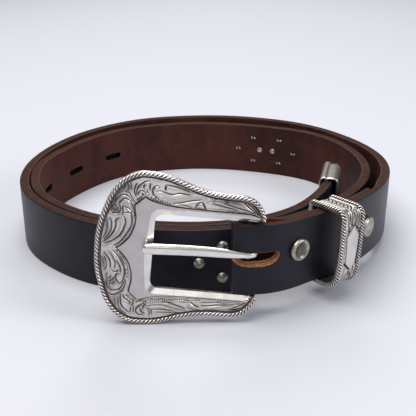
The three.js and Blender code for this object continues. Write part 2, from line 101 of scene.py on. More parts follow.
# Columns of faces on the cut edges and on the flesh side
EDGE_COLUMNS = [(k, k + EDGE_POINTS - 1) for k in (EDGE_START, LOWER_START)]
FLESH_COLUMNS = (EDGE_START + EDGE_POINTS - 1, LOWER_START)
# Steps along the strap: near the fold, how far that reaches, and elsewhere
FINE_STEP, FINE_REACH, COARSE_STEP = 0.8, 16, 1.5
# Places in the strap's table: on the flap, round the bend, and on the rest
FLAP_PLACES, BEND_PLACES, LINE_PLACES = 137, 41, 2089
# How far the strap's own points stay from an opening, along the strap and up it
OPENING_ROOM = (0.7, 0.5)
# A unit of the strap's UV map is 100 mm
UV_SCALE = 10 * MM

# Fasteners: middle of each cluster along the strap, and places in a cluster along the strap and up it
FRONT_CLUSTER, BACK_CLUSTER = 511.56, 687.89
STUDS = [(-15.6, 0), (-7.25, 6.2), (-7.25, -6.2), (7.25, 6.2), (7.25, -6.2), (15.6, 0)]
POSTS = [-3.6, 3.6]
# Distance along the strap of each fold rivet, its height above the middle, and how dark the painted reflection
# in its dish is
RIVETS = [(19.2, 1.9, 1.0), (59.4, 0.2, 0.15)]
RIVET_BACK_ROOM = 0.7
# Profiles are places (radius, height above the black face), from the back to the front
RIVET_HEAD = [(1.5, 0.1), (3.9, 0.1), (4.02, 0.35), (4.05, 0.75), (3.95, 1.15), (3.7, 1.5), (3.4, 1.66),
              (3.05, 1.62), (2.7, 1.42), (2.2, 1.14), (1.5, 0.94), (0.7, 0.86), (0, 0.84)]
# Painted dark reflection in the dish of a rivet's head, from its rim to its middle
RIVET_DISH_REFLECTION = np.array([0] * 14 + [0.1, 0.45, 0.8, 0.9, 0.9, 0.9])
STUD_PROFILE = [(0, 0.05), (1.9, 0.05), (2.15, 0.1), (2.22, 0.3), (2.12, 0.55), (1.85, 0.95), (1.45, 1.28),
                (1.0, 1.52), (0.5, 1.66), (0, 1.7)]
# How dark each point of a stud's profile is: darker towards the leather
STUD_DIMMING = [0.8, 0.8, 0.75, 0.7, 0.6, 0.45, 0.35, 0.3, 0.3, 0.3]
POST_PROFILE = [(0, -4.35), (0.9, -4.35), (1.25, -4.25), (1.4, -3.95), (1.3, -3.65), (1.3, 0.1), (2.5, 0.1),
                (2.62, 0.4), (2.5, 0.85), (1.9, 1.1), (0, 1.2)]
# Half size of a bent leg, how far it stands from the stud's middle, how deep it lies and its tone
LEG_HALF, LEG_AT, LEG_SUNK, LEG_DULL = (0.8, 0.55, 0.45), 0.75, 0.12, 0.4

# Strap tip: its depth and wall, and how far its strip is thick, its groove deep and its shell proud
TIP_DEPTH, TIP_WALL = 25, 0.9
TIP_STRIP_THICK, TIP_GROOVE, TIP_PROUD = 1.7, 0.5, 1.1
# Length, straight part and room round the strap of the front shell and of the back strip
TIP_SHELL, TIP_STRIP = (28.5, 16.5, 0.75), (31.5, 19, 0.9)
# A place inside its outline, and how dark its face is
TIP_MIDDLE, TIP_WORN = (12.0, 0.0), 0.66

# Buckle, in its own plane: x along the strap, y up the bar, z out of the belt
BUCKLE_AT = np.array([13.2, -87.2, 22.6]) + PART_SHIFT
BUCKLE_YAW, BUCKLE_LEAN, BUCKLE_ROLL = 1.5, 3.0, 6.2
# Middle line of the rope edge, from the round end to an arm's end, above the buckle's middle line
HALF_OUTLINE = [
    (-49.5, 0), (-49.4, 4), (-48.75, 8.7), (-47.55, 13), (-46.2, 17), (-44.9, 19.5), (-43.4, 21.7),
    (-41.5, 23.5), (-39.3, 24.9), (-37, 25.7), (-34.5, 25.85), (-32, 25.75), (-29.7, 25.5), (-27, 24.9),
    (-24, 23.9), (-20, 22.5), (-15, 21.3), (-10, 20.85), (-5, 20.75), (-3, 20.55), (-1, 20.0), (0.2, 19.3),
    (1.1, 18.5), (1.9, 17.6), (2.6, 16.5), (3.15, 15.4), (3.45, 14.3), (3.3, 13.4),
]
# Cut line between the satin panel and the engraving: two curves that meet in cusps
HALF_BORDER = [
    (-43.2, 0), (-41.9, 1.0), (-40.9, 2.0), (-39.7, 3.5), (-38.8, 5.0), (-38.2, 6.8), (-37.7, 8.6),
    (-37.55, 10.2), (-37.6, 11.8), (-37.9, 13.4), (-38.2, 15.3),
    (-35.1, 18.1), (-33.4, 17.2), (-31, 16.5), (-27, 15.8), (-22, 15.5), (-16, 15.4), (-10, 15.4),
    (-5, 15.4), (-1, 15.3), (1.4, 14.7),
]
# The border's first curve ends in the cusp before this point
BORDER_CUSP = 11
WINDOW_LEFT, WINDOW_HALF, WINDOW_CORNER, PLATE = -31.5, 13.1, 3.0, 2.8
# How far the middle line of the ornament and of the window lies above the middle of the bar
ORNAMENT_UP, WINDOW_UP = 0.5, 0.1
# Places that face each other: rope, border and window, for the upper half
FACING = [
    ((-49.5, 0), (-43.2, 0), (-31.5, 0)),
    ((-48.75, 8.7), (-37.9, 8), (-31.5, 4.6)),
    ((-45.6, 18.2), (-38.2, 15.3), (-31.5, 8.2)),
    ((-39.9, 24.6), (-35.1, 18.1), (-31.1, 11.6)),
    ((-34, 25.8), (-31, 16.5), (-28.5, 13.1)),
    ((-26.6, 24.8), (-25, 15.6), (-23.6, 13.1)),
    ((-16.7, 21.6), (-15.5, 15.4), (-15, 13.1)),
    ((-6.9, 20.8), (-6.5, 15.4), (-6.3, 13.1)),
    ((1.1, 18.5), (-0.2, 15.1), (-0.4, 13.1)),
    ((3.3, 13.4), (1.9, 14.5), (1.9, 13.1)),
]
ROPE_RADIUS, ROPE_TOP = 0.75, 0.75
BAR_RADIUS, BAR_DEPTH = 1.6, 5.0
# Blocks that hold the bar: half size, how far past the window they lie, and their depth
BOSS_HALF, BOSS_PAST, BOSS_DEPTH = (2.6, 1.5, 3.15), 1.5, -3.8
# Rows round the plate, and columns across its engraved border
PLATE_ROWS, BORDER_COLUMNS = 520, 56
BEVEL_WIDTH, BEVEL_DROP, RECESS_REACH = 2.2, 0.95, 1.5
# The bevel is narrower where the border comes closer to the window than this
BEVEL_ROOM = 2.7
# How high the border swells and how deep it is sunk under the rope, and the width of each change of height
CREST, RECESS, RECESS_FADE, CUT_FADE = 0.22, 0.5, 0.4, 0.16
# Lowest and highest place of the face that closes an arm's end
END_DEPTHS = (-2.2, -0.6)
# Shares of the way across the bevel and across the satin panel where a column lies
BEVEL_SHARES = (0, 0.06, 0.3, 0.55, 0.8, 0.94, 1.0)
PANEL_SHARES = (0.03, 0.06, 0.3, 0.6, 0.9, 0.965, 0.985, 1.0)
# The panel ends in a dark step down: where its satin ends, where the step starts and where it is dark
PANEL_SATIN, PANEL_STEP_FROM, PANEL_DARK_FROM, PANEL_STEP = 0.04, 0.97, 0.98, 0.3
# Outside of the plate (outwards, z) and wall of its window (towards the border, z)
PLATE_SIDE = ((0.45, -0.7), (0.55, -1.4), (0.5, -2.2), (0.2, -2.65), (-0.3, -PLATE))
WINDOW_WALL = ((0.25, -PLATE), (0.05, -2.62), (0.0, -2.2), (0.0, -1.6))
BACK_HOLLOW = 0.35
# Middle line of the prong seen along the bar, from its tip to the eye: x, z, half width and half height
PRONG_PATH = [
    (-34.9, 2.0, 1.78, 1.25), (-33.2, 2.0, 1.78, 1.3), (-26.5, 1.25, 1.75, 1.3), (-19.5, 0.5, 1.72, 1.22),
    (-14, 0.2, 1.66, 1.12), (-9.8, 0.2, 1.58, 1.0), (-5.5, 0.4, 1.36, 0.84), (-2, 0.45, 1.05, 0.7),
    (0.5, 0.2, 0.88, 0.64), (2.0, -0.9, 0.88, 0.64), (2.75, -2.9, 1.0, 0.62), (2.7, -5.0, 1.2, 0.6),
]
# Prong: its middle's height on the bar, length of its round end, power of its section, and its painted dark
# reflection
PRONG_UP, PRONG_TIP, PRONG_ROUND = 2.05, 1.7, 0.75
PRONG_REFLECTION, PRONG_REFLECTION_AT, PRONG_REFLECTION_WIDTH = 0.5, 0.95, 0.3
# Eye of the prong round the bar: radius, half thickness and half width, and its middle's height
EYE_RADIUS, EYE_HALF, EYE_UP = 2.5, (0.6, 1.3), PRONG_UP - 0.5

# Keeper: middle along the strap, tilt in degrees, section seen along the strap, wall and half width
KEEPER_AT, KEEPER_TILT = 37.15, 4
KEEPER_BACK, KEEPER_FRONT, KEEPER_TOP, KEEPER_LOW = -6.5, 6.2, 12.95, -13.3
KEEPER_WALL, KEEPER_HALF = 1.15, 6.05
KEEPER_CORNERS = (3.2, 1.5, 2.2, 5.2)
# Side and radius of each rope rim, and the length of a turn
KEEPER_ROPES = ((-1, 1.0), (1, 0.82))
KEEPER_ROPE_PITCH = 3.3
# Places across the band where its engraving starts and ends, and the depth of the channel beside it
KEEPER_BAND = (1.85 - KEEPER_HALF, KEEPER_HALF - 1.5)
KEEPER_CHANNEL = 0.42
# Barbs of the leaf on the top and the bottom: where they start, their step and their number
BARB_START, BARB_STEP, BARB_COUNT = 14.6, 1.7, 15
BARB = np.array([(0.1, 0), (1.4, 0.7), (2.4, 1.9), (3.1, 3.4)])
SHIELD = [(0.7, 8.5), (3.75, 4.7), (3.4, -5.8), (1.4, -8.4), (-1.9, -5.4), (-2.7, 4.8)]
# Engraved lines of one half, mirrored for the other: width, darkness and points (across, round the band)
KEEPER_CUTS = [
    (0.16, 0.95, [(0.0, 7.9), (0.75, 9.8), (0.7, 12.0), (0.1, 14.4)]),
    (0.1, 0.8, [(0.0, 9.2), (0.02, 11.2), (0.0, 13.4)]),
    (0.18, 1.0, [(0.2, 7.8), (1.5, 9.4), (1.95, 11.6), (1.5, 14.6)]),
    (0.1, 0.7, [(0.7, 8.7), (1.25, 10.4), (1.2, 12.8)]),
    (0.18, 1.0, [(1.6, 5.8), (2.6, 7.8), (3.0, 10.2), (2.8, 13.2)]),
    (0.1, 0.75, [(1.9, 7.4), (2.35, 9.4), (2.3, 11.8)]),
    (0.2, 1.0, [(0.35, 9.0), (1.7, 7.7), (3.3, 5.6)]),
    (0.12, 0.9, [(2.2, 7.6), (3.0, 6.9), (3.6, 6.6)]),
    (0.18, 1.0, [(0.1, -8.6), (1.1, -9.8), (2.2, -11.4), (2.9, -13.6)]),
    (0.2, 1.0, [(0.1, -7.9), (1.5, -6.7), (3.0, -5.3)]),
    (0.16, 0.95, [(1.8, -6.6), (2.6, -8.2), (3.0, -10.4)]),
    (0.16, 0.95, [(0.0, -9.3), (0.6, -11.2), (0.4, -13.6)]),
    (0.1, 0.7, [(0.6, -10.0), (1.4, -11.6), (1.7, -13.8)]),
    (0.1, 0.7, [(1.7, -8.0), (2.3, -9.6), (2.6, -11.4)]),
    (0.14, 0.9, [(0.0, 14.8), (0.0, 22.0), (0.0, 29.0)]),
    (0.14, 0.9, [(0.0, -14.4), (0.0, -22.0), (0.0, -29.0)]),
]
# How far the leaf's middle line lies beside the band's, and how much wider its lines are cut than listed
LEAF_SHIFT, LEAF_WIDTH = 0.7, 1.5

# Stage: camera place in mm, its pitch down and its focal length in pixels
CAMERA_AT, CAMERA_PITCH, CAMERA_FOCAL, IMAGE = (0.797, -289.57, 126.24), 22.5, 700, 416
SENSOR = 36.0
ROOM_COLOUR = (0.90, 0.915, 0.96, 1)
# Lights: name, place, size, share of the main light's power and colour
LIGHTS = (
    ("key", (-0.25, -0.1, 1.1), 1.1, 1.0, (1.0, 0.99, 0.97)),
    ("side", (0.9, -0.35, 0.55), 0.5, 0.35, (0.95, 0.97, 1.0)),
    ("back", (0.05, 1.1, 0.85), 0.8, 0.5, (1.0, 1.0, 1.0)),
    ("front", (0.05, -1.3, 0.86), 1.1, 0.2, (1.0, 0.99, 0.97)),
)
LIGHT_AIM = (0, -0.02, 0.02)


# Curves, grids and meshes


def rotation(axis, degrees):
    """Turn about X or Z by an angle, as a 3 by 3 matrix."""
    c, s = math.cos(math.radians(degrees)), math.sin(math.radians(degrees))
    if axis == "X":
        return np.array([[1, 0, 0], [0, c, -s], [0, s, c]])
    return np.array([[c, -s, 0], [s, c, 0], [0, 0, 1]])


BUCKLE_AXES = rotation("Z", BUCKLE_YAW) @ rotation("X", 90 - BUCKLE_LEAN) @ rotation("Z", -BUCKLE_ROLL)


def smooth_step(t):
    """0 below 0, 1 above 1, and 3t^2 - 2t^3 between."""
    u = np.clip(t, 0, 1)
    return u * u * (3 - 2 * u)


def signed_power(a, p):
    """A power that keeps the sign."""
    return np.sign(a) * np.abs(a) ** p


def flowing(points, per_span=12):
    """Uniform Catmull-Rom curve through plane points, per_span steps between two of them."""
    p = np.asarray(points, float)
    ends = np.vstack([p[:1], p, p[-1:]])
    t = np.linspace(0, 1, per_span, endpoint=False)[None, :, None]
    a, b, c, d = (ends[i:i + len(p) - 1][:, None, :] for i in range(4))
    a = a.copy()
    d = d.copy()
    d[-1] = p[-1]
    curve = 0.5 * (2 * b + (c - a) * t + (2 * a - 5 * b + 4 * c - d) * t**2 + (3 * b - a - 3 * c + d) * t**3)
    return np.vstack([curve.reshape(-1, p.shape[1]), p[-1:]])


def lengths(line):
    """Distance along a polyline at each of its points."""
    return np.concatenate([[0], np.cumsum(np.linalg.norm(np.diff(line, axis=0), axis=1))])


def along(line, where):
    """Points of a polyline at given distances from its start."""
    s = lengths(line)
    return np.stack([np.interp(where, s, line[:, k]) for k in range(line.shape[1])], -1)


def directions(line, closed=False):
    """Unit tangents of a polyline, from the neighbours of each point."""
    if closed:
        d = np.roll(line, -1, 0) - np.roll(line, 1, 0)
    else:
        d = np.gradient(line, axis=0)
    return d / np.linalg.norm(d, axis=1, keepdims=True)


def offset(line, distance):
    """A plane line moved to its left by a distance."""
    t = directions(line)
    return line + distance * np.stack([-t[:, 1], t[:, 0]], -1)


def mirrored(line):
    """The lower half of a shape from its upper half, joined to it at the middle."""
    low = line[::-1] * (1, -1)
    return np.vstack([low[:-1], line])


def quads(rows, cols, close_rows=False, close_cols=False, flip=False):
    """Faces between neighbouring rows and columns of a grid, row after row."""
    r = np.arange(rows if close_rows else rows - 1)
    c = np.arange(cols if close_cols else cols - 1)
    a, b = np.meshgrid(r, c, indexing="ij")
    a2, b2 = (a + 1) % rows, (b + 1) % cols
    face = np.stack([a * cols + b, a2 * cols + b, a2 * cols + b2, a * cols + b2], -1)
    face = face.reshape(-1, 4)
    return face[:, ::-1] if flip else face


class Shell:
    """Gathers grids of points with their faces, UVs, point values and material numbers for one piece."""

    def __init__(self, values=()):
        """An empty shell, with the names of its point values."""
        self.names = list(values)
        self.points, self.faces, self.uvs, self.finish, self.count = [], [], [], [], 0
        self.values = {name: [] for name in self.names}

    def add(self, points, faces, uv=None, finish=0, **values):
        """Adds points and faces, with UVs, a material number for each face and values for each point."""
        flat = np.asarray(points, float).reshape(-1, 3)
        n = len(flat)
        self.points.append(flat)
        self.faces.append(np.asarray(faces) + self.count)
        self.finish.append(np.broadcast_to(np.asarray(finish, np.int32), (len(faces),)))
        self.uvs.append(np.zeros((n, 2)) if uv is None else np.asarray(uv, float).reshape(-1, 2))
        for name in self.names:
            value = np.broadcast_to(np.asarray(values.get(name, 0.0), float).ravel(), (n,))
            self.values[name].append(value)
        self.count += n

    def grid(self, points, close_rows=False, close_cols=False, flip=False, uv=None, **values):
        """Adds a grid of points whose faces join neighbouring rows and columns."""
        rows, cols = np.asarray(points).shape[:2]
        self.add(points, quads(rows, cols, close_rows, close_cols, flip), uv, **values)


def linked(context, name, data):
    """A new object in the scene."""
    item = bpy.data.objects.new(name, data)
    context.scene.collection.objects.link(item)
    return item


def make_piece(name, shell, body, nodes, materials, sharp=38.0, merge=1e-7):
    """One object from a shell: its grids are joined where their points meet, and it rides on a body."""
    points = np.vstack(shell.points) * MM
    faces = np.vstack(shell.faces)
    mesh = bpy.data.meshes.new(name)
    mesh.vertices.add(len(points))
    mesh.vertices.foreach_set("co", points.astype(np.float32).ravel())
    mesh.loops.add(faces.size)
    mesh.loops.foreach_set("vertex_index", faces.astype(np.int32).ravel())
    mesh.polygons.add(len(faces))
    mesh.polygons.foreach_set("loop_start", np.arange(0, faces.size, 4, dtype=np.int32))
    for material in materials:
        mesh.materials.append(material)
    mesh.polygons.foreach_set("material_index", np.concatenate(shell.finish).astype(np.int32))
    mesh.update(calc_edges=True)
    uv = mesh.uv_layers.new(name="piece")
    uv.data.foreach_set("uv", np.vstack(shell.uvs)[faces.ravel()].astype(np.float32).ravel())
    for value in shell.names:
        layer = mesh.attributes.new(value, "FLOAT", "POINT")
        layer.data.foreach_set("value", np.concatenate(shell.values[value]).astype(np.float32))
    work = bmesh.new()
    work.from_mesh(mesh)
    bmesh.ops.remove_doubles(work, verts=work.verts, dist=merge)
    bmesh.ops.dissolve_degenerate(work, edges=work.edges, dist=merge)
    work.to_mesh(mesh)
    work.free()
    mesh.shade_smooth()
    mesh.set_sharp_from_angle(angle=math.radians(sharp))
    piece = linked(bpy.context, name, mesh)
    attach(piece, body)
    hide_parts(*nodes)
    return piece


# Materials


def rgb(colour, share=1.0):
    """A colour times a share, or times a share for each channel, with full alpha."""
    shares = (share,) * 3 if isinstance(share, float) else share
    return (*(s * c for s, c in zip(shares, colour)), 1.0)


def link_in(tree, node, name, value):
    """Sets a socket to a value, or links another node's socket to it."""
    socket = node.inputs[name]
    if isinstance(value, bpy.types.NodeSocket):
        tree.links.new(value, socket)
    else:
        socket.default_value = value


def add_node(tree, kind, settings=None, **sockets):
    """A node with its settings, and its sockets by name."""
    node = tree.nodes.new("ShaderNode" + kind)
    for key, value in (settings or {}).items():
        setattr(node, key, value)
    for key, value in sockets.items():
        link_in(tree, node, key, value)
    return node


def blend_colour(tree, share, first, second):
    """Mixes two colours by a share."""
    node = add_node(tree, "Mix", {"data_type": "RGBA"})
    for socket, value in ((0, share), (6, first), (7, second)):
        link_in(tree, node, socket, value)
    return node.outputs[2]


def arithmetic(tree, how, a, b=0.0, c=0.0):
    """One Math node."""
    node = add_node(tree, "Math", {"operation": how})
    for socket, value in enumerate((a, b, c)):
        link_in(tree, node, socket, value)
    return node.outputs[0]


def ranged(tree, value, low, high, to_low=0.0, to_high=1.0):
    """Maps a value from one range to another, smoothly and clamped."""
    node = add_node(tree, "MapRange", {"interpolation_type": "SMOOTHSTEP"})
    for key, number in zip(("Value", "From Min", "From Max", "To Min", "To Max"),
                           (value, low, high, to_low, to_high)):
        link_in(tree, node, key, number)
    return node.outputs[0]


def noise(tree, vector, scale, detail=3.0, rough=0.5, stretch=None):
    """Noise on a vector, drawn out along its axes by stretch."""
    if stretch is not None:
        mapping = add_node(tree, "Mapping")
        link_in(tree, mapping, "Vector", vector)
        mapping.inputs["Scale"].default_value = stretch
        vector = mapping.outputs[0]
    node = add_node(tree, "TexNoise", Vector=vector, Scale=scale, Detail=detail, Roughness=rough)
    return node.outputs["Fac"]


def point_value(tree, name):
    """A point value of the piece."""
    return add_node(tree, "Attribute", {"attribute_name": name}).outputs["Fac"]


def bump(tree, height, distance, strength=1.0):
    """Bump from a height, in metres."""
    return add_node(tree, "Bump", Height=height, Distance=distance, Strength=strength).outputs[0]


def shader(name, **sockets):
    """A material with one Principled shader, whose constant sockets are set directly."""
    material = bpy.data.materials.new(name)
    material.use_nodes = True
    tree = material.node_tree
    tree.nodes.clear()
    out = tree.nodes.new("ShaderNodeOutputMaterial")
    principled = add_node(tree, "BsdfPrincipled", **sockets)
    tree.links.new(principled.outputs[0], out.inputs[0])
    return material, tree, principled


def leather_shader(name, specular):
    """A leather material with its specular level, and the strap's own UV map."""
    material, tree, skin = shader(name, IOR=1.45)
    skin.inputs["Specular IOR Level"].default_value = specular
    return material, tree, skin, add_node(tree, "UVMap", {"uv_map": "piece"}).outputs[0]


def grain_leather(look):
    """Dyed black grain side: fine pores, a soft sheen and slightly lighter places of wear."""
    material, tree, skin, uv = leather_shader("black_grain", 0.34)
    skin.inputs["Specular Tint"].default_value = (0.9, 0.86, 1.0, 1)
    mottle = noise(tree, uv, 9, 4, 0.55)
    fine = noise(tree, uv, 260, 3, 0.6)
    crease = noise(tree, uv, 34, 4, 0.6, (0.5, 1.6, 1.0))
    wear_and_painted_reflection = ranged(tree, mottle, 0.35, 0.72)
    link_in(tree, skin, "Base Color", blend_colour(tree, wear_and_painted_reflection, rgb(look.black), rgb(look.black, 1.9)))
    grain = arithmetic(tree, "MULTIPLY_ADD", mottle, 0.5, fine)
    low, high = look.sheen_roughness - 0.05, look.sheen_roughness + 0.07
    link_in(tree, skin, "Roughness", ranged(tree, grain, 0.5, 1.0, low, high))
    height = arithmetic(tree, "MULTIPLY_ADD", crease, 0.5, arithmetic(tree, "MULTIPLY", fine, 0.16))
    link_in(tree, skin, "Normal", bump(tree, height, 0.0002, 0.6))
    return material


def edge_leather(look):
    """Raw cut edge: brown fibres along the strap, dye from the black side, and the slot's fresh wall."""
    material, tree, skin, uv = leather_shader("cut_edge", 0.12)
    skin.inputs["Roughness"].default_value = 0.85
    fibre = noise(tree, uv, 110, 5, 0.75, (0.7, 1.5, 1.0))
    clump = noise(tree, uv, 30, 4, 0.65, (0.7, 1.1, 1.0))
    mottle = noise(tree, uv, 7, 3, 0.5)
    depth = arithmetic(tree, "SUBTRACT", point_value(tree, "depth"), 0.1)
    depth = arithmetic(tree, "MULTIPLY_ADD", clump, 0.2, depth)
    dark, light, dye = rgb(look.edge, 0.3), rgb(look.edge, 1.5), (0.007, 0.006, 0.006, 1)
    cut = blend_colour(tree, ranged(tree, fibre, 0.38, 0.56), rgb(look.slot_edge, 0.4), rgb(look.slot_edge))
    brown = blend_colour(tree, ranged(tree, fibre, 0.36, 0.64), dark, light)
    for share, colour in (
        (ranged(tree, clump, 0.42, 0.66, 0.0, 0.75), rgb(look.edge, 0.5)),
        (ranged(tree, mottle, 0.42, 0.62, 0.0, 0.5), rgb(look.edge, 0.6)),
        (point_value(tree, "fresh"), cut),
        (point_value(tree, "dyed"), dye),
        (ranged(tree, depth, 0.03, 0.13, 0.95, 0.0), dye),
        (ranged(tree, depth, 0.84, 0.95, 0.0, 0.7), dark),
    ):
        brown = blend_colour(tree, share, brown, colour)
    link_in(tree, skin, "Base Color", brown)
    height = arithmetic(tree, "MULTIPLY_ADD", clump, 1.0, arithmetic(tree, "MULTIPLY", fibre, 0.7))
    link_in(tree, skin, "Normal", bump(tree, height, 0.0006, 0.9))
    return material


def flesh_leather(look):
    """Inner side: smooth pasted red-brown leather with cloudy wear."""
    material, tree, skin, uv = leather_shader("flesh_side", 0.22)
    cloud = noise(tree, uv, 3.2, 4, 0.55, (1.0, 0.5, 1.0))
    streak = noise(tree, uv, 22, 4, 0.6, (0.9, 0.7, 1.0))
    fine = noise(tree, uv, 220, 3, 0.6)
    colour = rgb(look.flesh)
    for share, other in (
        (ranged(tree, streak, 0.32, 0.74, 0.0, 0.65), rgb(look.flesh, (2.1, 1.9, 1.5))),
        (ranged(tree, cloud, 0.44, 0.66, 0.0, 0.7), rgb(look.flesh, (2.3, 2.6, 1.9))),
        (ranged(tree, cloud, 0.34, 0.5, 0.5, 0.0), rgb(look.flesh, 0.6)),
    ):
        colour = blend_colour(tree, share, colour, other)
    link_in(tree, skin, "Base Color", colour)
    link_in(tree, skin, "Roughness", ranged(tree, cloud, 0.3, 0.7, 0.5, 0.68))
    height = arithmetic(tree, "MULTIPLY_ADD", streak, 0.6, arithmetic(tree, "MULTIPLY", fine, 0.3))
    link_in(tree, skin, "Normal", bump(tree, height, 0.00025, 0.7))
    return material


def silver_material(look):
    """Plated silver: dark by the dark value, satin where the satin value is 1. The dark value is patina in the
    cuts, and also painted shade on the keeper and a painted dark reflection on the prong.
    """
    material, tree, metal = shader("engraved_silver", Metallic=1.0)
    place = add_node(tree, "TexCoord").outputs["Object"]
    smudge = noise(tree, place, 160, 4, 0.6)
    speck = noise(tree, place, 1500, 2, 0.6)
    brushed = noise(tree, place, 900, 2, 0.5, (1.0, 1.0, 0.12))
    satin = point_value(tree, "satin")
    tarnish_and_painted_shade = arithmetic(tree, "SUBTRACT", point_value(tree, "dark"), 0.1)
    tarnish_and_painted_shade = ranged(tree, arithmetic(tree, "MULTIPLY_ADD", speck, 0.2, tarnish_and_painted_shade), 0.0, 0.95)
    clean = blend_colour(tree, ranged(tree, smudge, 0.35, 0.7), rgb(look.silver), rgb(look.silver, 0.86))
    matt = blend_colour(tree, ranged(tree, smudge, 0.3, 0.75), rgb(look.satin), rgb(look.satin, 0.9))
    clean = blend_colour(tree, satin, clean, matt)
    link_in(tree, metal, "Base Color", blend_colour(tree, tarnish_and_painted_shade, clean, rgb(look.tarnish_and_painted_shade)))
    rough = ranged(tree, smudge, 0.3, 0.7, look.polish_roughness, look.polish_roughness + 0.08)
    rough = arithmetic(tree, "MULTIPLY_ADD", satin, 0.16, rough)
    link_in(tree, metal, "Roughness", arithmetic(tree, "MULTIPLY_ADD", tarnish_and_painted_shade, 0.25, rough))
    grit = arithmetic(tree, "MULTIPLY", speck, 0.4)
    height = arithmetic(tree, "MULTIPLY_ADD", arithmetic(tree, "MULTIPLY", brushed, satin), 0.6, grit)
    link_in(tree, metal, "Normal", bump(tree, height, 0.00001, 0.35))
    return material


def nickel_material(look):
    """Worn nickel with small dents and duller patches, darker by the dark value: a painted dark reflection in
    the rivets' dishes, the studs darker towards the leather, and darker bent legs.
    """
    material, tree, metal = shader("worn_nickel", Metallic=1.0)
    place = add_node(tree, "TexCoord").outputs["Object"]
    patch = noise(tree, place, 420, 4, 0.65)
    dent = noise(tree, place, 700, 2, 0.5)
    plate = blend_colour(tree, ranged(tree, patch, 0.42, 0.7), rgb(look.nickel), rgb(look.nickel, 0.55))
    wear_and_painted_reflection = rgb(look.nickel, (0.16, 0.19, 0.19))
    link_in(tree, metal, "Base Color", blend_colour(tree, point_value(tree, "dark"), plate, wear_and_painted_reflection))
    link_in(tree, metal, "Roughness", ranged(tree, patch, 0.3, 0.7, 0.24, 0.46))
    link_in(tree, metal, "Normal", bump(tree, dent, 0.0001, 0.45))
    return material


# Material and its maker for each metal slot
METALS = {"antique_silver": ("engraved_silver", silver_material),
          "dull_nickel": ("worn_nickel", nickel_material)}


def metal_piece(context, name, shell, body, node, sharp, slot="antique_silver"):
    """A metal piece that replaces a node, with its slot's material, which is made once."""
    material, maker = METALS[slot]
    metal = bpy.data.materials.get(material) or maker(context.scene.belt_metal)
    return make_piece(name, shell, body, [node], [metal], sharp=sharp)


# Strap


def spline_table():
    """Natural cubic spline through the plan points, with the distance along it every quarter millimetre.

    The second derivatives m solve h[i-1] m[i-1] + 2 (h[i-1] + h[i]) m[i] + h[i] m[i+1] = 6 (slope change).
    """
    first = np.array(FIRST_TURN, float)
    chord = first[[i + 1 for i in NESTED]] - first[[i - 1 for i in NESTED]]
    inward = np.stack([-chord[:, 1], chord[:, 0]], -1) / np.linalg.norm(chord, axis=1, keepdims=True)
    nested = first[list(NESTED)] + (STRAP_THICKNESS + NEST_GAP) * inward
    p = np.vstack([first, SECOND_TURN, nested, TAIL])
    k = lengths(p)
    h, n = np.diff(k), len(p)
    matrix, load = np.eye(n), np.zeros((n, 2))
    i = np.arange(1, n - 1)
    matrix[i, i - 1], matrix[i, i], matrix[i, i + 1] = h[:-1], 2 * (h[:-1] + h[1:]), h[1:]
    slope = np.diff(p, axis=0) / h[:, None]
    load[1:-1] = 6 * np.diff(slope, axis=0)
    m = np.linalg.solve(matrix, load)
    at = np.linspace(0, k[-1], math.ceil(k[-1] * 4) + 1)
    j = np.clip(np.searchsorted(k, at, side="left") - 1, 0, n - 2)
    b = ((at - k[j]) / h[j])[:, None]
    a, hj = 1 - b, h[j][:, None]
    points = a * p[j] + b * p[j + 1] + ((a**3 - a) * m[j] + (b**3 - b) * m[j + 1]) * hj * hj / 6
    return lengths(points), points + PART_SHIFT[:2]


LINE_S, LINE_P = spline_table()
LINE_LENGTH = LINE_S[-1]


def line_at(s):
    """Point, tangent and inward normal of the strap's black face at distances s."""
    point = np.stack([np.interp(s, LINE_S, LINE_P[:, k]) for k in (0, 1)], -1)
    low, high = np.maximum(s - 0.5, 0), np.minimum(s + 0.5, LINE_LENGTH)
    ends = [np.stack([np.interp(e, LINE_S, LINE_P[:, k]) for k in (0, 1)], -1) for e in (low, high)]
    t = ends[1] - ends[0]
    t /= np.linalg.norm(t, axis=-1, keepdims=True)
    return point, t, np.stack([-t[..., 1], t[..., 0]], -1)


def lift_at(s):
    """Height of the lower edge: raised at the fold, on the floor after it, raised again at the tail."""
    fold = FOLD_LIFT * (1 - smooth_step(s / LIFT_RUN)) + FOLD_RISE * np.maximum(1 - s / FOLD_RISE_RUN, 0) ** 2
    return fold + TAIL_LIFT * smooth_step((s - LINE_LENGTH + TAIL_LEVEL + TAIL_LIFT_RUN) / TAIL_LIFT_RUN)


def fold_room(s):
    """Room between the fold's layers: the loop round the bar, closing by a smooth step to the layers' gap."""
    return 2 * LOOP_RADIUS + (LAYER_GAP - 2 * LOOP_RADIUS) * smooth_step((s - LOOP_OPEN) / LOOP_CLOSING)


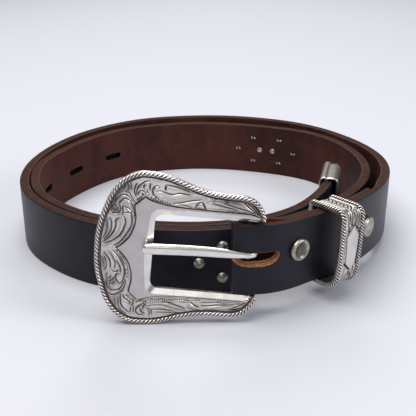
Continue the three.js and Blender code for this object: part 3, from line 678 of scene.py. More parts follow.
def strap_table():
    """Distance, black point, flesh point, lift and thickness against the strap's own length u.

    u is the distance along the black face, below 0 round the bar and back along the flap. The flap lies
    behind the front layer, the bend is half a circle round the bar, and the rest follows the plan's line.
    """
    s = np.linspace(FLAP_LENGTH, 0, FLAP_PLACES)
    p, _, inward = line_at(s)
    flesh = p + inward * (FRONT_LAYER + fold_room(s))[:, None]
    rows = [(-BEND_LENGTH - s, flesh + inward * FLAP, flesh, lift_at(s), np.full(len(s), FLAP))]
    p0, t0, in0 = (v[0] for v in line_at(np.array([0.0])))
    share = np.linspace(0, 1, BEND_PLACES)[1:-1]
    angle = np.pi * share
    away = in0 * np.cos(angle)[:, None] - t0 * np.sin(angle)[:, None]
    centre = p0 + in0 * (FRONT_LAYER + LOOP_RADIUS)
    thick = FLAP + (FRONT_LAYER - FLAP) * share
    rows.append((-BEND_LENGTH * (1 - share), centre + away * (LOOP_RADIUS + thick)[:, None],
                 centre + away * LOOP_RADIUS, np.full(len(share), lift_at(0.0)), thick))
    s = np.linspace(0, LINE_LENGTH, LINE_PLACES)
    p, _, inward = line_at(s)
    thick = FRONT_LAYER + (STRAP_THICKNESS - FRONT_LAYER) * smooth_step((s - FLAP_LENGTH - 1) / THICKENING)
    rows.append((s, p, p + inward * thick[:, None], lift_at(s), thick))
    return [np.concatenate([row[k] for row in rows]) for k in range(5)]


def strap_place(table, u, depth, z):
    """World point of a place in the strap: u along it, depth from the black face, z above its lower edge."""
    us, black, flesh, lift, thick = table
    share = depth / np.interp(u, us, thick)
    front, back = ([np.interp(u, us, line[:, k]) for k in (0, 1)] for line in (black, flesh))
    x, y = ((1 - share) * a + share * b for a, b in zip(front, back))
    return np.stack([x, y, z + np.interp(u, us, lift)], -1)


def strap_section():
    """The rounded rectangle across the strap, from the lower end of the black face and round over the top.

    Depth is a constant part plus a share of the thickness: 0 on the black face, the thickness on the
    flesh side, with corners of radius CORNER as quarter circles. Returns the heights on a face, and the
    constant part, the share and the height of each point.
    """
    high = STRAP_WIDTH - CORNER
    face = np.linspace(CORNER, high, FACE_POINTS)
    turn = np.linspace(0, np.pi / 2, CORNER_POINTS + 2)[1:-1]
    across = np.linspace(0, 1, EDGE_POINTS)
    flat, zero, one = np.zeros(FACE_POINTS), np.zeros(CORNER_POINTS), np.ones(CORNER_POINTS)
    sink, rise = CORNER * (1 - np.cos(turn)), CORNER * (1 - np.sin(turn))
    edge = CORNER * (1 - 2 * across)
    const = [flat, sink, edge, -rise, flat, -sink, -edge, rise]
    share = [flat, zero, across, one, flat + 1, one, 1 - across, zero]
    up = [face, high + CORNER * np.sin(turn), 0 * across + STRAP_WIDTH, high + CORNER * np.cos(turn),
          face[::-1], rise, 0 * across, sink]
    return face, *(np.concatenate(v) for v in (const, share, up))


def strap_openings():
    """Each opening: middle along u, height, half length, radius, lip, and whether its wall is fresh or dyed."""
    shorter, narrower = HOLE_CLOSED
    size = (HOLE_LENGTH / 2 - shorter, HOLE_WIDTH / 2 - narrower, HOLE_LIP)
    holes = [(FIRST_HOLE_AT + i * HOLE_PITCH, STRAP_WIDTH / 2, *size, 0, 1) for i in range(HOLE_COUNT)]
    slot_half = SLOT_RIGHT + BEND_LENGTH / 2
    return holes + [(-BEND_LENGTH / 2, STRAP_WIDTH / 2 + SLOT_UP, slot_half, SLOT_VISIBLE, SLOT_LIP, 1, 0)]


def add_sleeve(shell, table, u, face, row, col, opening):
    """A sleeve through the strap at an opening. Returns which of the strap's faces it takes the place of.

    The opening is a stadium: a radius round a middle line. The sleeve starts at a rectangle of the
    strap's own points and moves in straight steps to the stadium, turns in over a quarter circle of
    radius lip, runs through the thickness, and does the same backwards on the flesh side. The slot is
    narrowed to a lens by SLOT_LENS, and its lower lip splays out with the depth.
    """
    middle, level, half, radius, lip, fresh, dyed = opening
    wide, tall = half + lip + OPENING_ROOM[0], radius + lip + OPENING_ROOM[1]
    i0, i1 = np.searchsorted(u, (middle - wide, middle + wide)) - (1, 0)
    j0, j1 = np.searchsorted(face, (level - tall, level + tall)) - (1, 0)
    last = FACE_POINTS - 1
    back = col - FLESH_START
    in_front = (col >= j0) & (col < j1)
    behind = (back >= max(last - j1, 0)) & (back < min(last - j0, last))
    taken = (row >= i0) & (row < i1) & (in_front | behind)
    i = np.concatenate([np.arange(i0, i1), np.full(j1 - j0, i1), np.arange(i1, i0, -1), np.full(j1 - j0, i0)])
    j = np.concatenate([np.full(i1 - i0, j0), np.arange(j0, j1), np.full(i1 - i0, j1), np.arange(j1, j0, -1)])
    bx, by = u[i] - middle, face[j] - level
    mx = np.clip(bx, radius - half, half - radius)
    rim = np.hypot(bx - mx, by)
    dx, dy = (bx - mx) / rim, by / rim
    t = np.interp(u[i], table[0], table[4])
    # Distance from the middle line and depth, for the rows from the black face to the flesh side
    rho = rim + (radius + lip - rim) * np.array([0, 0.4, 0.75, 1])[:, None]
    arc = np.linspace(0, np.pi / 2, 5)[1:, None]
    bend = np.broadcast_to(radius + lip * (1 - np.sin(arc)), (4, len(i)))
    sink = np.broadcast_to(lip * (1 - np.cos(arc)), (4, len(i)))
    wall = np.linspace(0, 1, 5)[1:-1, None]
    rhos = np.vstack([rho, bend, np.full((3, len(i)), radius), bend[::-1], rho[::-1]])
    deep = np.vstack([0 * rho, sink, lip + wall * (t - 2 * lip), t - sink[::-1], t + 0 * rho])
    inner = rhos < radius + lip * 0.9
    near = fresh * smooth_step(np.clip((rim - rhos) / np.maximum(rim - radius - lip, 0.1), 0, 1))
    rhos = rhos - SLOT_SPLAY * near * np.clip(deep / t, 0, 1) * np.clip(-dy, 0, 1)
    su, sz = middle + mx + dx * rhos, level + dy * rhos
    open_share, lens_up = (np.interp(su, SLOT_LENS[:, 0], SLOT_LENS[:, n]) for n in (1, 2))
    sz = sz + near * (lens_up + (sz - level) * (open_share - 1))
    su[[0, -1]], sz[[0, -1]] = u[i], face[j]
    tt = np.interp(su, table[0], table[4])
    deep = np.where(deep == t, tt, deep)
    # The flesh side has its own part of the UV map
    uv = np.stack([su, np.where(deep > t / 2, 40 + deep + rhos, sz + deep)], -1) * UV_SCALE
    share = np.clip(deep / tt, 0, 1)
    faces = quads(len(rhos), len(i), close_cols=True, flip=True)
    ring = faces[:, 1] // len(i)
    wall_rows = (ring > len(rho)) & (ring < len(rhos) - len(rho))
    finish = np.where(wall_rows, 1, np.where(ring >= len(rhos) // 2, 2, 0))
    pale = fresh * inner * (su > SLOT_FRESH_FROM)
    dark = np.maximum(dyed * inner, fresh * inner * (su <= SLOT_FRESH_FROM))
    shell.add(strap_place(table, su, deep, sz), faces, uv, finish=finish, fresh=pale, dyed=dark,
              depth=np.where(inner, np.clip(share, 0.3, 0.8), share))
    return taken


def strap_shell():
    """The strap: its section carried along u, with a sleeve at each opening and both ends closed."""
    table = strap_table()
    start, end = table[0][0], table[0][-1]
    fold = np.arange(-BEND_LENGTH - FINE_REACH, FINE_REACH + 0.01, FINE_STEP)
    rest = np.linspace(fold[-1], end, int((end - fold[-1]) / COARSE_STEP))
    flap = np.linspace(start, fold[0], int((fold[0] - start) / COARSE_STEP))
    u = np.unique(np.concatenate([flap, fold, rest]).round(6))
    face, const, share, up = strap_section()
    thick = np.interp(u, table[0], table[4])[:, None]
    depth = const + share * thick
    uu = np.broadcast_to(u[:, None], depth.shape)
    cols = len(up)
    around = np.concatenate([[0], np.cumsum(np.hypot(np.diff(up), np.diff(depth[-1])))])
    uv = np.stack([uu, np.broadcast_to(around, depth.shape)], -1) * UV_SCALE
    points = strap_place(table, uu, depth, np.broadcast_to(up, depth.shape))
    faces = quads(len(u), cols, close_cols=True)
    row, col = faces[:, 0] // cols, faces[:, 0] % cols
    on_edge = np.any([(col >= first) & (col < last) for first, last in EDGE_COLUMNS], 0)
    on_flesh = (col >= FLESH_COLUMNS[0]) & (col < FLESH_COLUMNS[1])
    finish = np.where(on_edge, 1, np.where(on_flesh, 2, 0))
    shell = Shell(["depth", "fresh", "dyed"])
    keep = ~np.any([add_sleeve(shell, table, u, face, row, col, hole) for hole in strap_openings()], 0)
    shell.add(points, faces[keep], uv, finish=finish[keep], depth=np.clip(depth / thick, 0, 1))
    # Ends: the section closes on its own middle line
    for k, flip in ((0, True), (-1, False)):
        t = thick[k, 0]
        middle = np.clip(up, t / 2, STRAP_WIDTH - t / 2)
        mid = strap_place(table, np.full(cols, u[k]), np.full(cols, t / 2), middle)
        shell.grid(np.stack([points[k], mid]), close_cols=True, flip=flip, finish=1, depth=0.5)
    return shell


def face_frame(s, up=0.0):
    """Origin and axes on the black face: along the strap, up, and out of the coil."""
    p, t, inward = (v[0] for v in line_at(np.array([float(s)])))
    origin = np.array([p[0], p[1], lift_at(float(s)) + STRAP_WIDTH / 2 + up])
    return origin, np.array([[t[0], t[1], 0], [0, 0, 1], [-inward[0], -inward[1], 0]])


def placed(points, origin, axes):
    """Local points to world: origin + x a + y b + z c."""
    return origin + np.asarray(points) @ axes


# Relief, painted on a fine square lattice and read back at the mesh's points


class Relief:
    """Cuts, beads and shade on a lattice. Between the cuts the metal swells like a cushion.

    height = crown (1 - exp(-(gap / r)^2)) - depth cut + lift, where gap is the distance to the
    nearest cut and cut falls off as exp(-(distance / width)^2).
    """

    def __init__(self, low, high, pitch, crown=0.3, spread=0.55, depth=0.3, shade=0.16):
        """A lattice between two corners, with the height, spread, cut depth and shade of the plain metal."""
        self.low, self.pitch = np.array(low, float), pitch
        self.crown, self.spread, self.depth = crown, spread, depth
        shape = [int(round((b - a) / pitch)) + 1 for a, b in zip(low, high)]
        self.gap = np.full(shape, 2.0)
        self.cuts = np.zeros(shape)
        self.shade = np.full(shape, float(shade))
        self.lift = np.zeros(shape)

    def window(self, line, margin):
        """Slices and coordinates of the lattice round a line."""
        low = np.floor((line.min(0) - margin - self.low) / self.pitch).astype(int)
        high = np.ceil((line.max(0) + margin - self.low) / self.pitch).astype(int) + 1
        low, high = np.maximum(low, 0), np.minimum(high, self.gap.shape)
        part = tuple(slice(a, max(b, a)) for a, b in zip(low, high))
        axes = [self.low[k] + self.pitch * np.arange(low[k], max(high[k], low[k])) for k in (0, 1)]
        return part, np.stack(np.meshgrid(*axes, indexing="ij"), -1)

    @staticmethod
    def nearest(grid, line):
        """Distance from each lattice point to a line, and the share of the line's length there."""
        a, d = line[:-1], np.diff(line, axis=0)
        size = np.maximum((d**2).sum(-1), 1e-12)
        share = np.clip(((grid[..., None, :] - a) * d).sum(-1) / size, 0, 1)
        gap = np.linalg.norm(grid[..., None, :] - a - share[..., None] * d, axis=-1)
        best = gap.argmin(-1)[..., None]
        s = lengths(line)
        where = (s[:-1] + share * np.diff(s)) / s[-1]
        return [np.take_along_axis(v, best, -1)[..., 0] for v in (gap, where)]

    def cut(self, points, width=0.2, dark=0.95, curved=True, taper=True):
        """A cut along a line, thin at its ends and widest in the middle."""
        line = flowing(points, 6) if curved and len(points) > 2 else np.asarray(points, float)
        part, grid = self.window(line, 2.0)
        if 0 in grid.shape:
            return
        gap, where = self.nearest(grid, line)
        wide = width * (0.45 + 0.55 * np.sqrt(np.sin(np.pi * where).clip(0, 1))) if taper else width
        fall = np.exp(-((gap / wide) ** 2))
        self.cuts[part] = np.maximum(self.cuts[part], dark * fall)
        weak = np.maximum(gap, 1.2 * (0.95 - dark))
        self.gap[part] = np.minimum(self.gap[part], weak)

    def beads(self, points, spacing=0.6, radius=0.25, rise=0.2, curved=True, dark=0.66):
        """A row of small half balls in a dark channel."""
        line = flowing(points, 8) if curved and len(points) > 2 else np.asarray(points, float)
        part, grid = self.window(line, 4 * radius)
        gap, where = self.nearest(grid, line)
        run = where * lengths(line)[-1] / spacing
        off = np.hypot((run - np.floor(run) - 0.5) * spacing, gap) / radius
        band = gap < radius * 1.35
        ball = np.sqrt(np.clip(1 - off**2, 0, 1))
        self.lift[part] = np.where(band, rise * ball - 0.08, self.lift[part])
        self.cuts[part] = np.where(band, dark * (1 - smooth_step(ball / 0.6)), self.cuts[part])

    def offsets(self, x, y):
        """How far the lattice's columns and rows lie from a point."""
        across, up = (low + self.pitch * np.arange(n) for low, n in zip(self.low, self.gap.shape))
        return (across - x)[:, None], (up - y)[None, :]

    def patch(self, x, y, radius, amount, aspect=1.0):
        """A soft round patch that is duller or brighter than the rest: a Gauss curve of the distance."""
        across, up = self.offsets(x, y)
        self.shade += amount * np.exp(-(across / (radius * aspect)) ** 2 - (up / radius) ** 2)

    def stipple(self, x, y, radius, pitch=0.42, rise=0.07):
        """A patch of fine crossed waves: the product of a sine along each diagonal."""
        across, up = self.offsets(x, y)
        weight = np.exp(-((across**2 + up**2) / radius**2) ** 2)
        k = 2 * np.pi / (pitch * math.sqrt(2))
        wave = np.sin(k * (across + up)) * np.sin(k * (across - up))
        self.lift += rise * weight * wave
        self.cuts = np.maximum(self.cuts, 0.7 * weight * np.clip(-wave, 0, 1))

    def plain(self, points, lift=0.1, shade=0.04, rim=0.16):
        """A flat raised shape inside a closed outline, with a cut round it."""
        line = np.vstack([points, points[:1]]).astype(float)
        part, grid = self.window(line, 3 * rim)
        x, y = grid[..., 0:1], grid[..., 1:2]
        (x0, y0), (x1, y1) = line[:-1].T, line[1:].T
        with np.errstate(divide="ignore", invalid="ignore"):
            crossing = ((y0 > y) != (y1 > y)) & (x < (x1 - x0) * (y - y0) / (y1 - y0) + x0)
        inside = crossing.sum(-1) % 2 == 1
        self.gap[part] = np.where(inside, 2.0, self.gap[part])
        self.cuts[part] = np.where(inside, 0.0, self.cuts[part])
        self.shade[part] = np.where(inside, shade, self.shade[part])
        self.lift[part] = np.where(inside, lift, self.lift[part])
        edge = np.exp(-((self.nearest(grid, line)[0] / rim) ** 2))
        self.cuts[part] = np.maximum(self.cuts[part], edge)

    def read(self, x, y):
        """Height and darkness at points, by bilinear interpolation."""
        fx, fy = (x - self.low[0]) / self.pitch, (y - self.low[1]) / self.pitch
        i = np.clip(np.floor(fx).astype(int), 0, self.gap.shape[0] - 2)
        j = np.clip(np.floor(fy).astype(int), 0, self.gap.shape[1] - 2)
        a, b = np.clip(fx - i, 0, 1), np.clip(fy - j, 0, 1)
        weights = ((1 - a) * (1 - b), a * (1 - b), (1 - a) * b, a * b)
        spots = ((i, j), (i + 1, j), (i, j + 1), (i + 1, j + 1))
        gap, cuts, shade, lift = (sum(w * field[s] for w, s in zip(weights, spots))
                                  for field in (self.gap, self.cuts, self.shade, self.lift))
        swell = 1 - np.exp(-((gap / self.spread) ** 2))
        height = self.crown * swell - self.depth * cuts + lift - self.crown
        return height, np.clip(np.maximum(cuts, shade + 0.18 * (1 - swell)), 0, 1)


# Buckle


# Engraved lines of the buckle: width, darkness and points, first the upper half, then the lower
BUCKLE_CUTS = [
    (0.24, 0.95, [(-44.1, 1.2), (-42.9, 2.0), (-41.9, 3.0), (-41, 4.3), (-40.2, 5.7), (-39.5, 7.0),
                  (-39.0, 8.3), (-38.8, 9.8), (-38.9, 11.4), (-39.3, 12.5), (-40.2, 13.0), (-41.2, 12.7)]),
    (0.24, 0.95, [(-47, 1.7), (-45.5, 2.5), (-44, 3.5), (-42.7, 4.7), (-41.9, 5.8), (-41.3, 7.2),
                  (-40.9, 8.7), (-40.8, 10), (-41.2, 11), (-41.9, 11.7)]),
    (0.24, 0.95, [(-47.5, 2.3), (-46.5, 3.3), (-45.3, 4.7), (-44.5, 6), (-44, 7.5), (-43.8, 8.8), (-44, 9.8),
                  (-43.6, 10.5), (-42.7, 10.9)]),
    (0.2, 0.9, [(-47.4, 3.2), (-46.3, 4.6), (-45.5, 6.2), (-45.2, 7.8), (-45.3, 9.6), (-45.9, 10.8)]),
    (0.15, 0.8, [(-47.7, 3.8), (-46.9, 5.4), (-46.5, 7.2), (-46.7, 9.0), (-47.1, 10.4)]),
    (0.09, 0.5, [(-44.2, 2.4), (-42.2, 4.0), (-40.9, 6.2), (-40.1, 8.6), (-40.0, 10.6), (-40.4, 11.9)]),
    (0.12, 0.6, [(-45.2, 3.7), (-43.6, 5.4), (-42.7, 7.4), (-42.4, 9.3), (-42.7, 10.3)]),
    (0.18, 0.9, [(-43.2, 15.6), (-42.8, 14.6), (-42.8, 13.4), (-43.5, 12.6), (-44.7, 12.4), (-45.6, 13.1),
                 (-45.7, 14.2), (-45.0, 15.1), (-44.2, 15.0)]),
    (0.15, 0.8, [(-43.6, 14.4), (-43.8, 13.5), (-44.6, 13.2), (-45.0, 13.8)]),
    (0.2, 0.9, [(-41.9, 15.2), (-42.1, 14.2), (-41.8, 13.2), (-42.1, 12.2)]),
    (0.17, 0.85, [(-42, 15.3), (-41, 14.8), (-40.1, 14.3), (-39.3, 13.5), (-39.1, 12.7)]),
    (0.2, 0.9, [(-43.3, 15.9), (-42.7, 16.8), (-41.7, 17.6), (-40.7, 17.5), (-39.7, 16.7), (-38.9, 15.3),
                (-38.3, 13.7), (-38.1, 11.7)]),
    (0.12, 0.7, [(-41.9, 15.9), (-41.0, 16.4), (-39.9, 15.7), (-39.1, 14.6), (-38.6, 12.9)]),
    (0.18, 0.85, [(-44.9, 15.6), (-44.3, 17.1), (-43.2, 18.2), (-42, 18.8), (-40.8, 18.7), (-39.8, 17.7),
                  (-38.7, 16.3)]),
    (0.18, 0.8, [(-44.3, 18.6), (-43.1, 19.5), (-41.7, 20), (-40.3, 19.5), (-39.3, 18.2), (-38.4, 16.7)]),
    (0.22, 0.95, [(-38.2, 18.7), (-38.7, 20.3), (-38.5, 22), (-38.1, 23.0)]),
    (0.15, 0.8, [(-40.9, 20.4), (-40.6, 21.4), (-41.0, 22.4)]),
    (0.15, 0.8, [(-40.0, 20.8), (-39.8, 22.0), (-40.4, 23.2)]),
    (0.15, 0.8, [(-43.0, 20.6), (-42.2, 21.2), (-41.8, 22.4)]),
    (0.22, 0.95, [(-38.2, 18.8), (-38, 20.3), (-37.7, 21.7), (-36.8, 22.7), (-35.5, 23.7), (-34.3, 24.1)]),
    (0.2, 0.95, [(-35.6, 22.9), (-35.9, 22.0), (-35.7, 21.2)]),
    (0.22, 0.95, [(-33.9, 23.3), (-34.0, 22.0), (-33.7, 21.0)]),
    (0.15, 0.85, [(-34.9, 21.4), (-34.6, 20.4), (-34.1, 19.8)]),
    (0.18, 0.9, [(-37.8, 19.3), (-37.2, 20.3), (-36.2, 20.7), (-35.4, 20.2), (-35.1, 19.5)]),
    (0.3, 0.9, [(-36.1, 19.9), (-35.9, 18.9)]),
    (0.17, 0.85, [(-37.7, 16.2), (-36, 17.4), (-34.4, 18.7)]),
    (0.17, 0.85, [(-37.8, 17.4), (-36.7, 18.4), (-35.3, 19.2)]),
    (0.25, 0.95, [(-31.5, 22.7), (-32.4, 22.4), (-33, 21.5), (-32.9, 20.2), (-32.3, 19.2), (-31.2, 18.9)]),
    (0.14, 0.8, [(-32.1, 20.8), (-30.9, 21.1), (-29.6, 21.1)]),
    (0.28, 1.0, [(-29.1, 23.1), (-29.0, 21.4)]),
    (0.2, 0.9, [(-29.9, 21.1), (-26.8, 20.3), (-24.1, 20.9), (-21, 20.6)]),
    (0.2, 0.9, [(-28.9, 23.3), (-24.8, 22.8), (-21, 21.6)]),
    (0.12, 0.6, [(-29.6, 19.2), (-26.5, 18.8), (-23.6, 19.3), (-21, 19.7), (-18.5, 20.1), (-16.4, 20.2)]),
    (0.22, 0.95, [(-26.3, 17.3), (-23.7, 17.8), (-22, 18.3), (-20, 18.9), (-17.3, 19.4)]),
    (0.15, 0.8, [(-24, 17.1), (-22.2, 17.0), (-20.4, 16.6)]),
    (0.1, 0.5, [(-29.0, 18.5), (-26, 18.2), (-23.5, 18.7), (-21.4, 19.1)]),
    (0.2, 0.9, [(-19.0, 16.6), (-18.6, 17.8), (-17.6, 18.4), (-16.8, 18.4)]),
    (0.28, 1.0, [(-16.8, 18.4), (-15.7, 16.3)]),
    (0.15, 0.85, [(-19, 16.5), (-17.3, 16.3), (-15.9, 16.3)]),
    (0.2, 0.9, [(-13.7, 18.5), (-11, 18), (-8.1, 17.5), (-5.6, 16.9)]),
    (0.2, 0.9, [(-10.2, 18.9), (-7.7, 18.3), (-5, 17.7), (-1.8, 17), (0.3, 16.6)]),
    (0.12, 0.65, [(-14.8, 16.7), (-11, 16.8), (-6, 16.6)]),
    (0.12, 0.65, [(-15.3, 19.2), (-12, 19.4), (-9, 19.3)]),
    (0.12, 0.65, [(-7.2, 19.5), (-5, 18.9), (-3.4, 18.3)]),
    (0.26, 1.0, [(-4.0, 19.9), (-1.8, 18.1), (0.7, 16.4), (1.5, 15.8)]),
    (0.26, 1.0, [(-2.5, 19.7), (-0.3, 17.9), (1.5, 16.2)]),
    (0.26, 1.0, [(-0.9, 19.5), (0.9, 17.7), (1.9, 16.0)]),
    (0.24, 0.95, [(-44.2, -0.5), (-43, -1.8), (-42, -2.9), (-41.2, -4.2), (-40.4, -5.8), (-40, -7.3),
                  (-40, -9), (-40.3, -10.7), (-41, -12.1)]),
    (0.2, 0.9, [(-45.6, -0.9), (-44.5, -2.2), (-43.7, -3.6), (-43.2, -5.0), (-43.4, -6.6)]),
    (0.22, 0.95, [(-42.9, -3.9), (-42, -5.3), (-41.4, -6.7), (-41.3, -8.1)]),
    (0.22, 0.95, [(-47, -1.5), (-46, -2.7), (-45.2, -3.8), (-44.8, -5.2), (-44.7, -6.7)]),
    (0.15, 0.85, [(-46.9, -2.6), (-46.3, -4.3), (-46.0, -5.8), (-46.5, -7.4)]),
    (0.15, 0.8, [(-47.8, -3), (-47.1, -4.7), (-46.9, -6)]),
    (0.2, 0.9, [(-44.6, -7.2), (-43.6, -8), (-42.6, -7.8), (-41.9, -7.2)]),
    (0.2, 0.9, [(-43.2, -9.9), (-43.8, -10.8), (-44.8, -11.6)]),
    (0.15, 0.85, [(-42.9, -11.2), (-43.6, -12.1), (-44.8, -12.5)]),
    (0.18, 0.85, [(-45.6, -8.4), (-45.9, -9.6), (-45.3, -10.6), (-44.6, -10.2), (-44.4, -9.2)]),
    (0.22, 0.95, [(-42.1, -8.5), (-42.8, -9.1), (-42.7, -10.4), (-42, -11.7), (-41.1, -12.1)]),
    (0.2, 0.9, [(-39.6, -10.2), (-40.2, -12.1), (-41, -13.7), (-42.2, -14.6), (-43.8, -14.7), (-45, -13.9),
                (-45.7, -12.4), (-45.7, -10.8)]),
    (0.2, 0.9, [(-39.3, -10.8), (-39.6, -12.8), (-40.4, -14.5), (-41.8, -15.8), (-43.6, -16.5),
                (-45, -15.8)]),
    (0.22, 0.95, [(-40.8, -15.9), (-40.7, -18), (-40.2, -20), (-39, -21.5), (-37.7, -22.3)]),
    (0.22, 0.95, [(-40.1, -16), (-39.3, -17.4), (-38.2, -18.2), (-37.5, -18.5), (-37.6, -19.3)]),
    (0.15, 0.85, [(-41.5, -17.0), (-41.4, -18.8), (-41, -20.8), (-40, -22.2), (-38.7, -22.9)]),
    (0.12, 0.7, [(-42.6, -17.2), (-42.5, -18.6), (-42.1, -20.0)]),
    (0.2, 0.9, [(-38.9, -16), (-37.7, -17.2), (-36.6, -18), (-36.5, -19.2), (-36.9, -20.1)]),
    (0.17, 0.9, [(-37, -20.5), (-37.2, -22.4)]),
    (0.17, 0.9, [(-36.1, -20), (-36.2, -22.2)]),
    (0.22, 0.95, [(-33, -18.8), (-34.3, -19.6), (-35.2, -20.7), (-35.3, -22), (-34.4, -22.9),
                  (-32.6, -23.1)]),
    (0.22, 0.95, [(-32.2, -18.9), (-32.9, -19.7), (-33, -20.8)]),
    (0.34, 0.9, [(-33.8, -20.8), (-33.5, -21.8), (-32.5, -22.4)]),
    (0.18, 0.9, [(-32.2, -20), (-31.2, -21), (-30.7, -22), (-30.8, -22.9)]),
    (0.18, 0.9, [(-31, -20.4), (-30.2, -21.2), (-29.9, -22.4)]),
    (0.15, 0.8, [(-32, -19.7), (-30.2, -19.2), (-26.8, -18.8), (-24.1, -19.3), (-21, -20), (-19, -20.1)]),
    (0.18, 0.9, [(-30.3, -20.8), (-27.9, -20.4), (-25.8, -20.4), (-22.7, -20.6)]),
    (0.22, 0.95, [(-26.6, -17.9), (-25, -17.6), (-23.1, -18.1), (-21, -18.7), (-19.2, -19.4)]),
    (0.15, 0.75, [(-28.5, -21.7), (-25, -21.4), (-21, -21.2)]),
    (0.26, 1.0, [(-17.4, -16.9), (-16, -17.9), (-14.7, -18.3)]),
    (0.12, 0.7, [(-18.3, -18.3), (-16.6, -19.3), (-14.6, -19.5)]),
    (0.22, 0.95, [(-13.6, -17.8), (-11.2, -17.7), (-8.5, -17.1), (-5.6, -16.9)]),
    (0.15, 0.8, [(-8.6, -18.1), (-6, -17.5), (-3.4, -16.8)]),
    (0.15, 0.8, [(-13.4, -16.6), (-10.2, -16.4), (-7.8, -16.1)]),
    (0.12, 0.7, [(-12.5, -19.0), (-8.5, -18.8), (-5, -18.2)]),
    (0.2, 0.9, [(-3, -17.6), (-0.8, -16.6), (1.0, -15.4)]),
    (0.22, 0.95, [(-4.5, -18.5), (-1.7, -17.9), (0.2, -16.9), (1.4, -15.6)]),
]
# Rows of beads: spacing, radius and points
BUCKLE_BEADS = [
    (0.62, 0.24, [(-42.3, 2.0), (-41.0, 3.2), (-39.9, 4.9), (-39.1, 6.8), (-38.6, 8.8)]),
    (0.75, 0.3, [(-33.2, 18.6), (-30.0, 17.8), (-27.3, 17.0)]),
    (0.75, 0.3, [(-32.6, 17.6), (-30.0, 17.1), (-27.0, 16.4), (-25.2, 16.2)]),
    (0.6, 0.24, [(-24.8, 16.1), (-22.6, 16.0), (-20.4, 16.0)]),
    (0.6, 0.24, [(-8.4, 16.2), (-4.0, 16.2), (0.0, 16.1)]),
    (0.62, 0.26, [(-43.0, -0.5), (-41.6, -1.9), (-40.4, -3.7), (-39.6, -5.6), (-39.2, -7.6), (-39.1, -9.4)]),
    (0.62, 0.24, [(-38.6, -16.4), (-37.4, -17.5), (-36.3, -17.8)]),
    (0.7, 0.28, [(-35.0, -18.3), (-32.6, -17.4), (-29.8, -16.9), (-27.6, -16.6)]),
    (0.7, 0.28, [(-32.8, -18.4), (-30.2, -17.9), (-27.6, -17.5)]),
    (0.62, 0.27, [(-26.8, -16.5), (-22.0, -16.0), (-14.8, -15.8)]),
    (0.62, 0.27, [(-26.6, -17.2), (-22.0, -16.8), (-18.2, -16.5)]),
    (0.6, 0.24, [(-8.2, -16.0), (-3.0, -16.1), (0.2, -15.6)]),
]
# Dull and bright places: middle, radius, amount and width over height
BUCKLE_PATCHES = [
    (-45.4, 17.6, 3.2, 0.42, 0.8), (-41.6, 22.0, 2.2, 0.32, 1.1), (-46.9, 8.0, 4.0, 0.3, 0.3),
    (-47.2, -5.5, 4.5, 0.28, 0.3), (-44.8, -12.6, 3.4, 0.26, 0.8), (-43.0, -18.6, 2.4, 0.3, 0.8),
    (-44.3, 13.6, 1.6, 0.3, 1.0), (-8.0, 19.5, 0.8, 0.4, 6.0), (-2.2, -18.3, 0.9, 0.45, 2.4),
    (-22.0, -21.4, 0.8, 0.3, 5.0), (-29.8, 22.0, 2.6, -0.2, 1.4), (-36.2, 20.9, 2.0, -0.18, 1.0),
    (-13.0, 17.6, 0.9, -0.12, 3.0), (-38.9, -19.6, 1.4, -0.1, 0.7),
]
# Patches of fine waves: middle and radius
BUCKLE_STIPPLES = [(-44.6, 13.9, 1.1), (-45.0, -13.2, 1.6), (-40.8, 22.6, 1.5), (-13.5, 20.1, 1.2),
                   (-9.5, 20.0, 1.3), (-2.0, -18.5, 1.0), (-5.5, 19.9, 1.0)]


def buckle_relief():
    """The engraving: scroll and leaf lines, bead rows and the cut border, with duller places."""
    relief = Relief((-51, -27), (5, 28), 0.06)
    for width, dark, points in BUCKLE_CUTS:
        relief.cut(points, width, dark)
    for x, y, radius in BUCKLE_STIPPLES:
        relief.stipple(x, y, radius)
    for spacing, radius, points in BUCKLE_BEADS:
        relief.beads(points, spacing, radius)
    for x, y, radius, amount, aspect in BUCKLE_PATCHES:
        relief.patch(x, y, radius, amount, aspect)
    first, second = flowing(HALF_BORDER[:BORDER_CUSP], 6), flowing(HALF_BORDER[BORDER_CUSP:], 6)
    diagonal = np.array([HALF_BORDER[BORDER_CUSP - 1], HALF_BORDER[BORDER_CUSP]])
    for sign in (1, -1):
        flip, up = np.array([1, sign]), np.array([0, ORNAMENT_UP])
        for line in (first, diagonal, second):
            relief.cut(line * flip + up, 0.24, 1.0, curved=False, taper=False)
            relief.cut(offset(line, 0.75) * flip + up, 0.1, 0.55, curved=False, taper=False)
    return relief


def facing_lines(rows):
    """Rope, border and window points that face each other, in rows from the lower arm to the upper one."""
    outer = flowing(HALF_OUTLINE)
    corner = np.linspace(np.pi, np.pi / 2, 9)
    arc = np.stack([WINDOW_LEFT + WINDOW_CORNER + WINDOW_CORNER * np.cos(corner),
                    WINDOW_HALF - WINDOW_CORNER + WINDOW_CORNER * np.sin(corner)], -1)
    window = np.vstack([[(WINDOW_LEFT, 0)], arc, [(2.6, WINDOW_HALF)]])
    border = np.vstack([flowing(HALF_BORDER[:BORDER_CUSP], 8), flowing(HALF_BORDER[BORDER_CUSP:], 8)])
    lines = []
    for k, line in enumerate((outer, border, window)):
        fine = along(line, np.linspace(0, lengths(line)[-1], 1500))
        s = lengths(fine)
        keys = [s[np.linalg.norm(fine - pair[k], axis=1).argmin()] for pair in FACING]
        keys[0] = 0
        if k < 2:
            keys[-1] = s[-1]
        lines.append((fine, keys))
    step = np.array(lines[0][1])
    # Rows lie closer on the round end than on the arms
    t = np.linspace(0, 1, rows)
    t = step[-1] * (0.86 * t + 0.14 * t * t)
    half = [along(fine, np.interp(t, step, keys)) for fine, keys in lines]
    return [mirrored(h) + (0, up) for h, up in zip(half, (ORNAMENT_UP, ORNAMENT_UP, WINDOW_UP))]


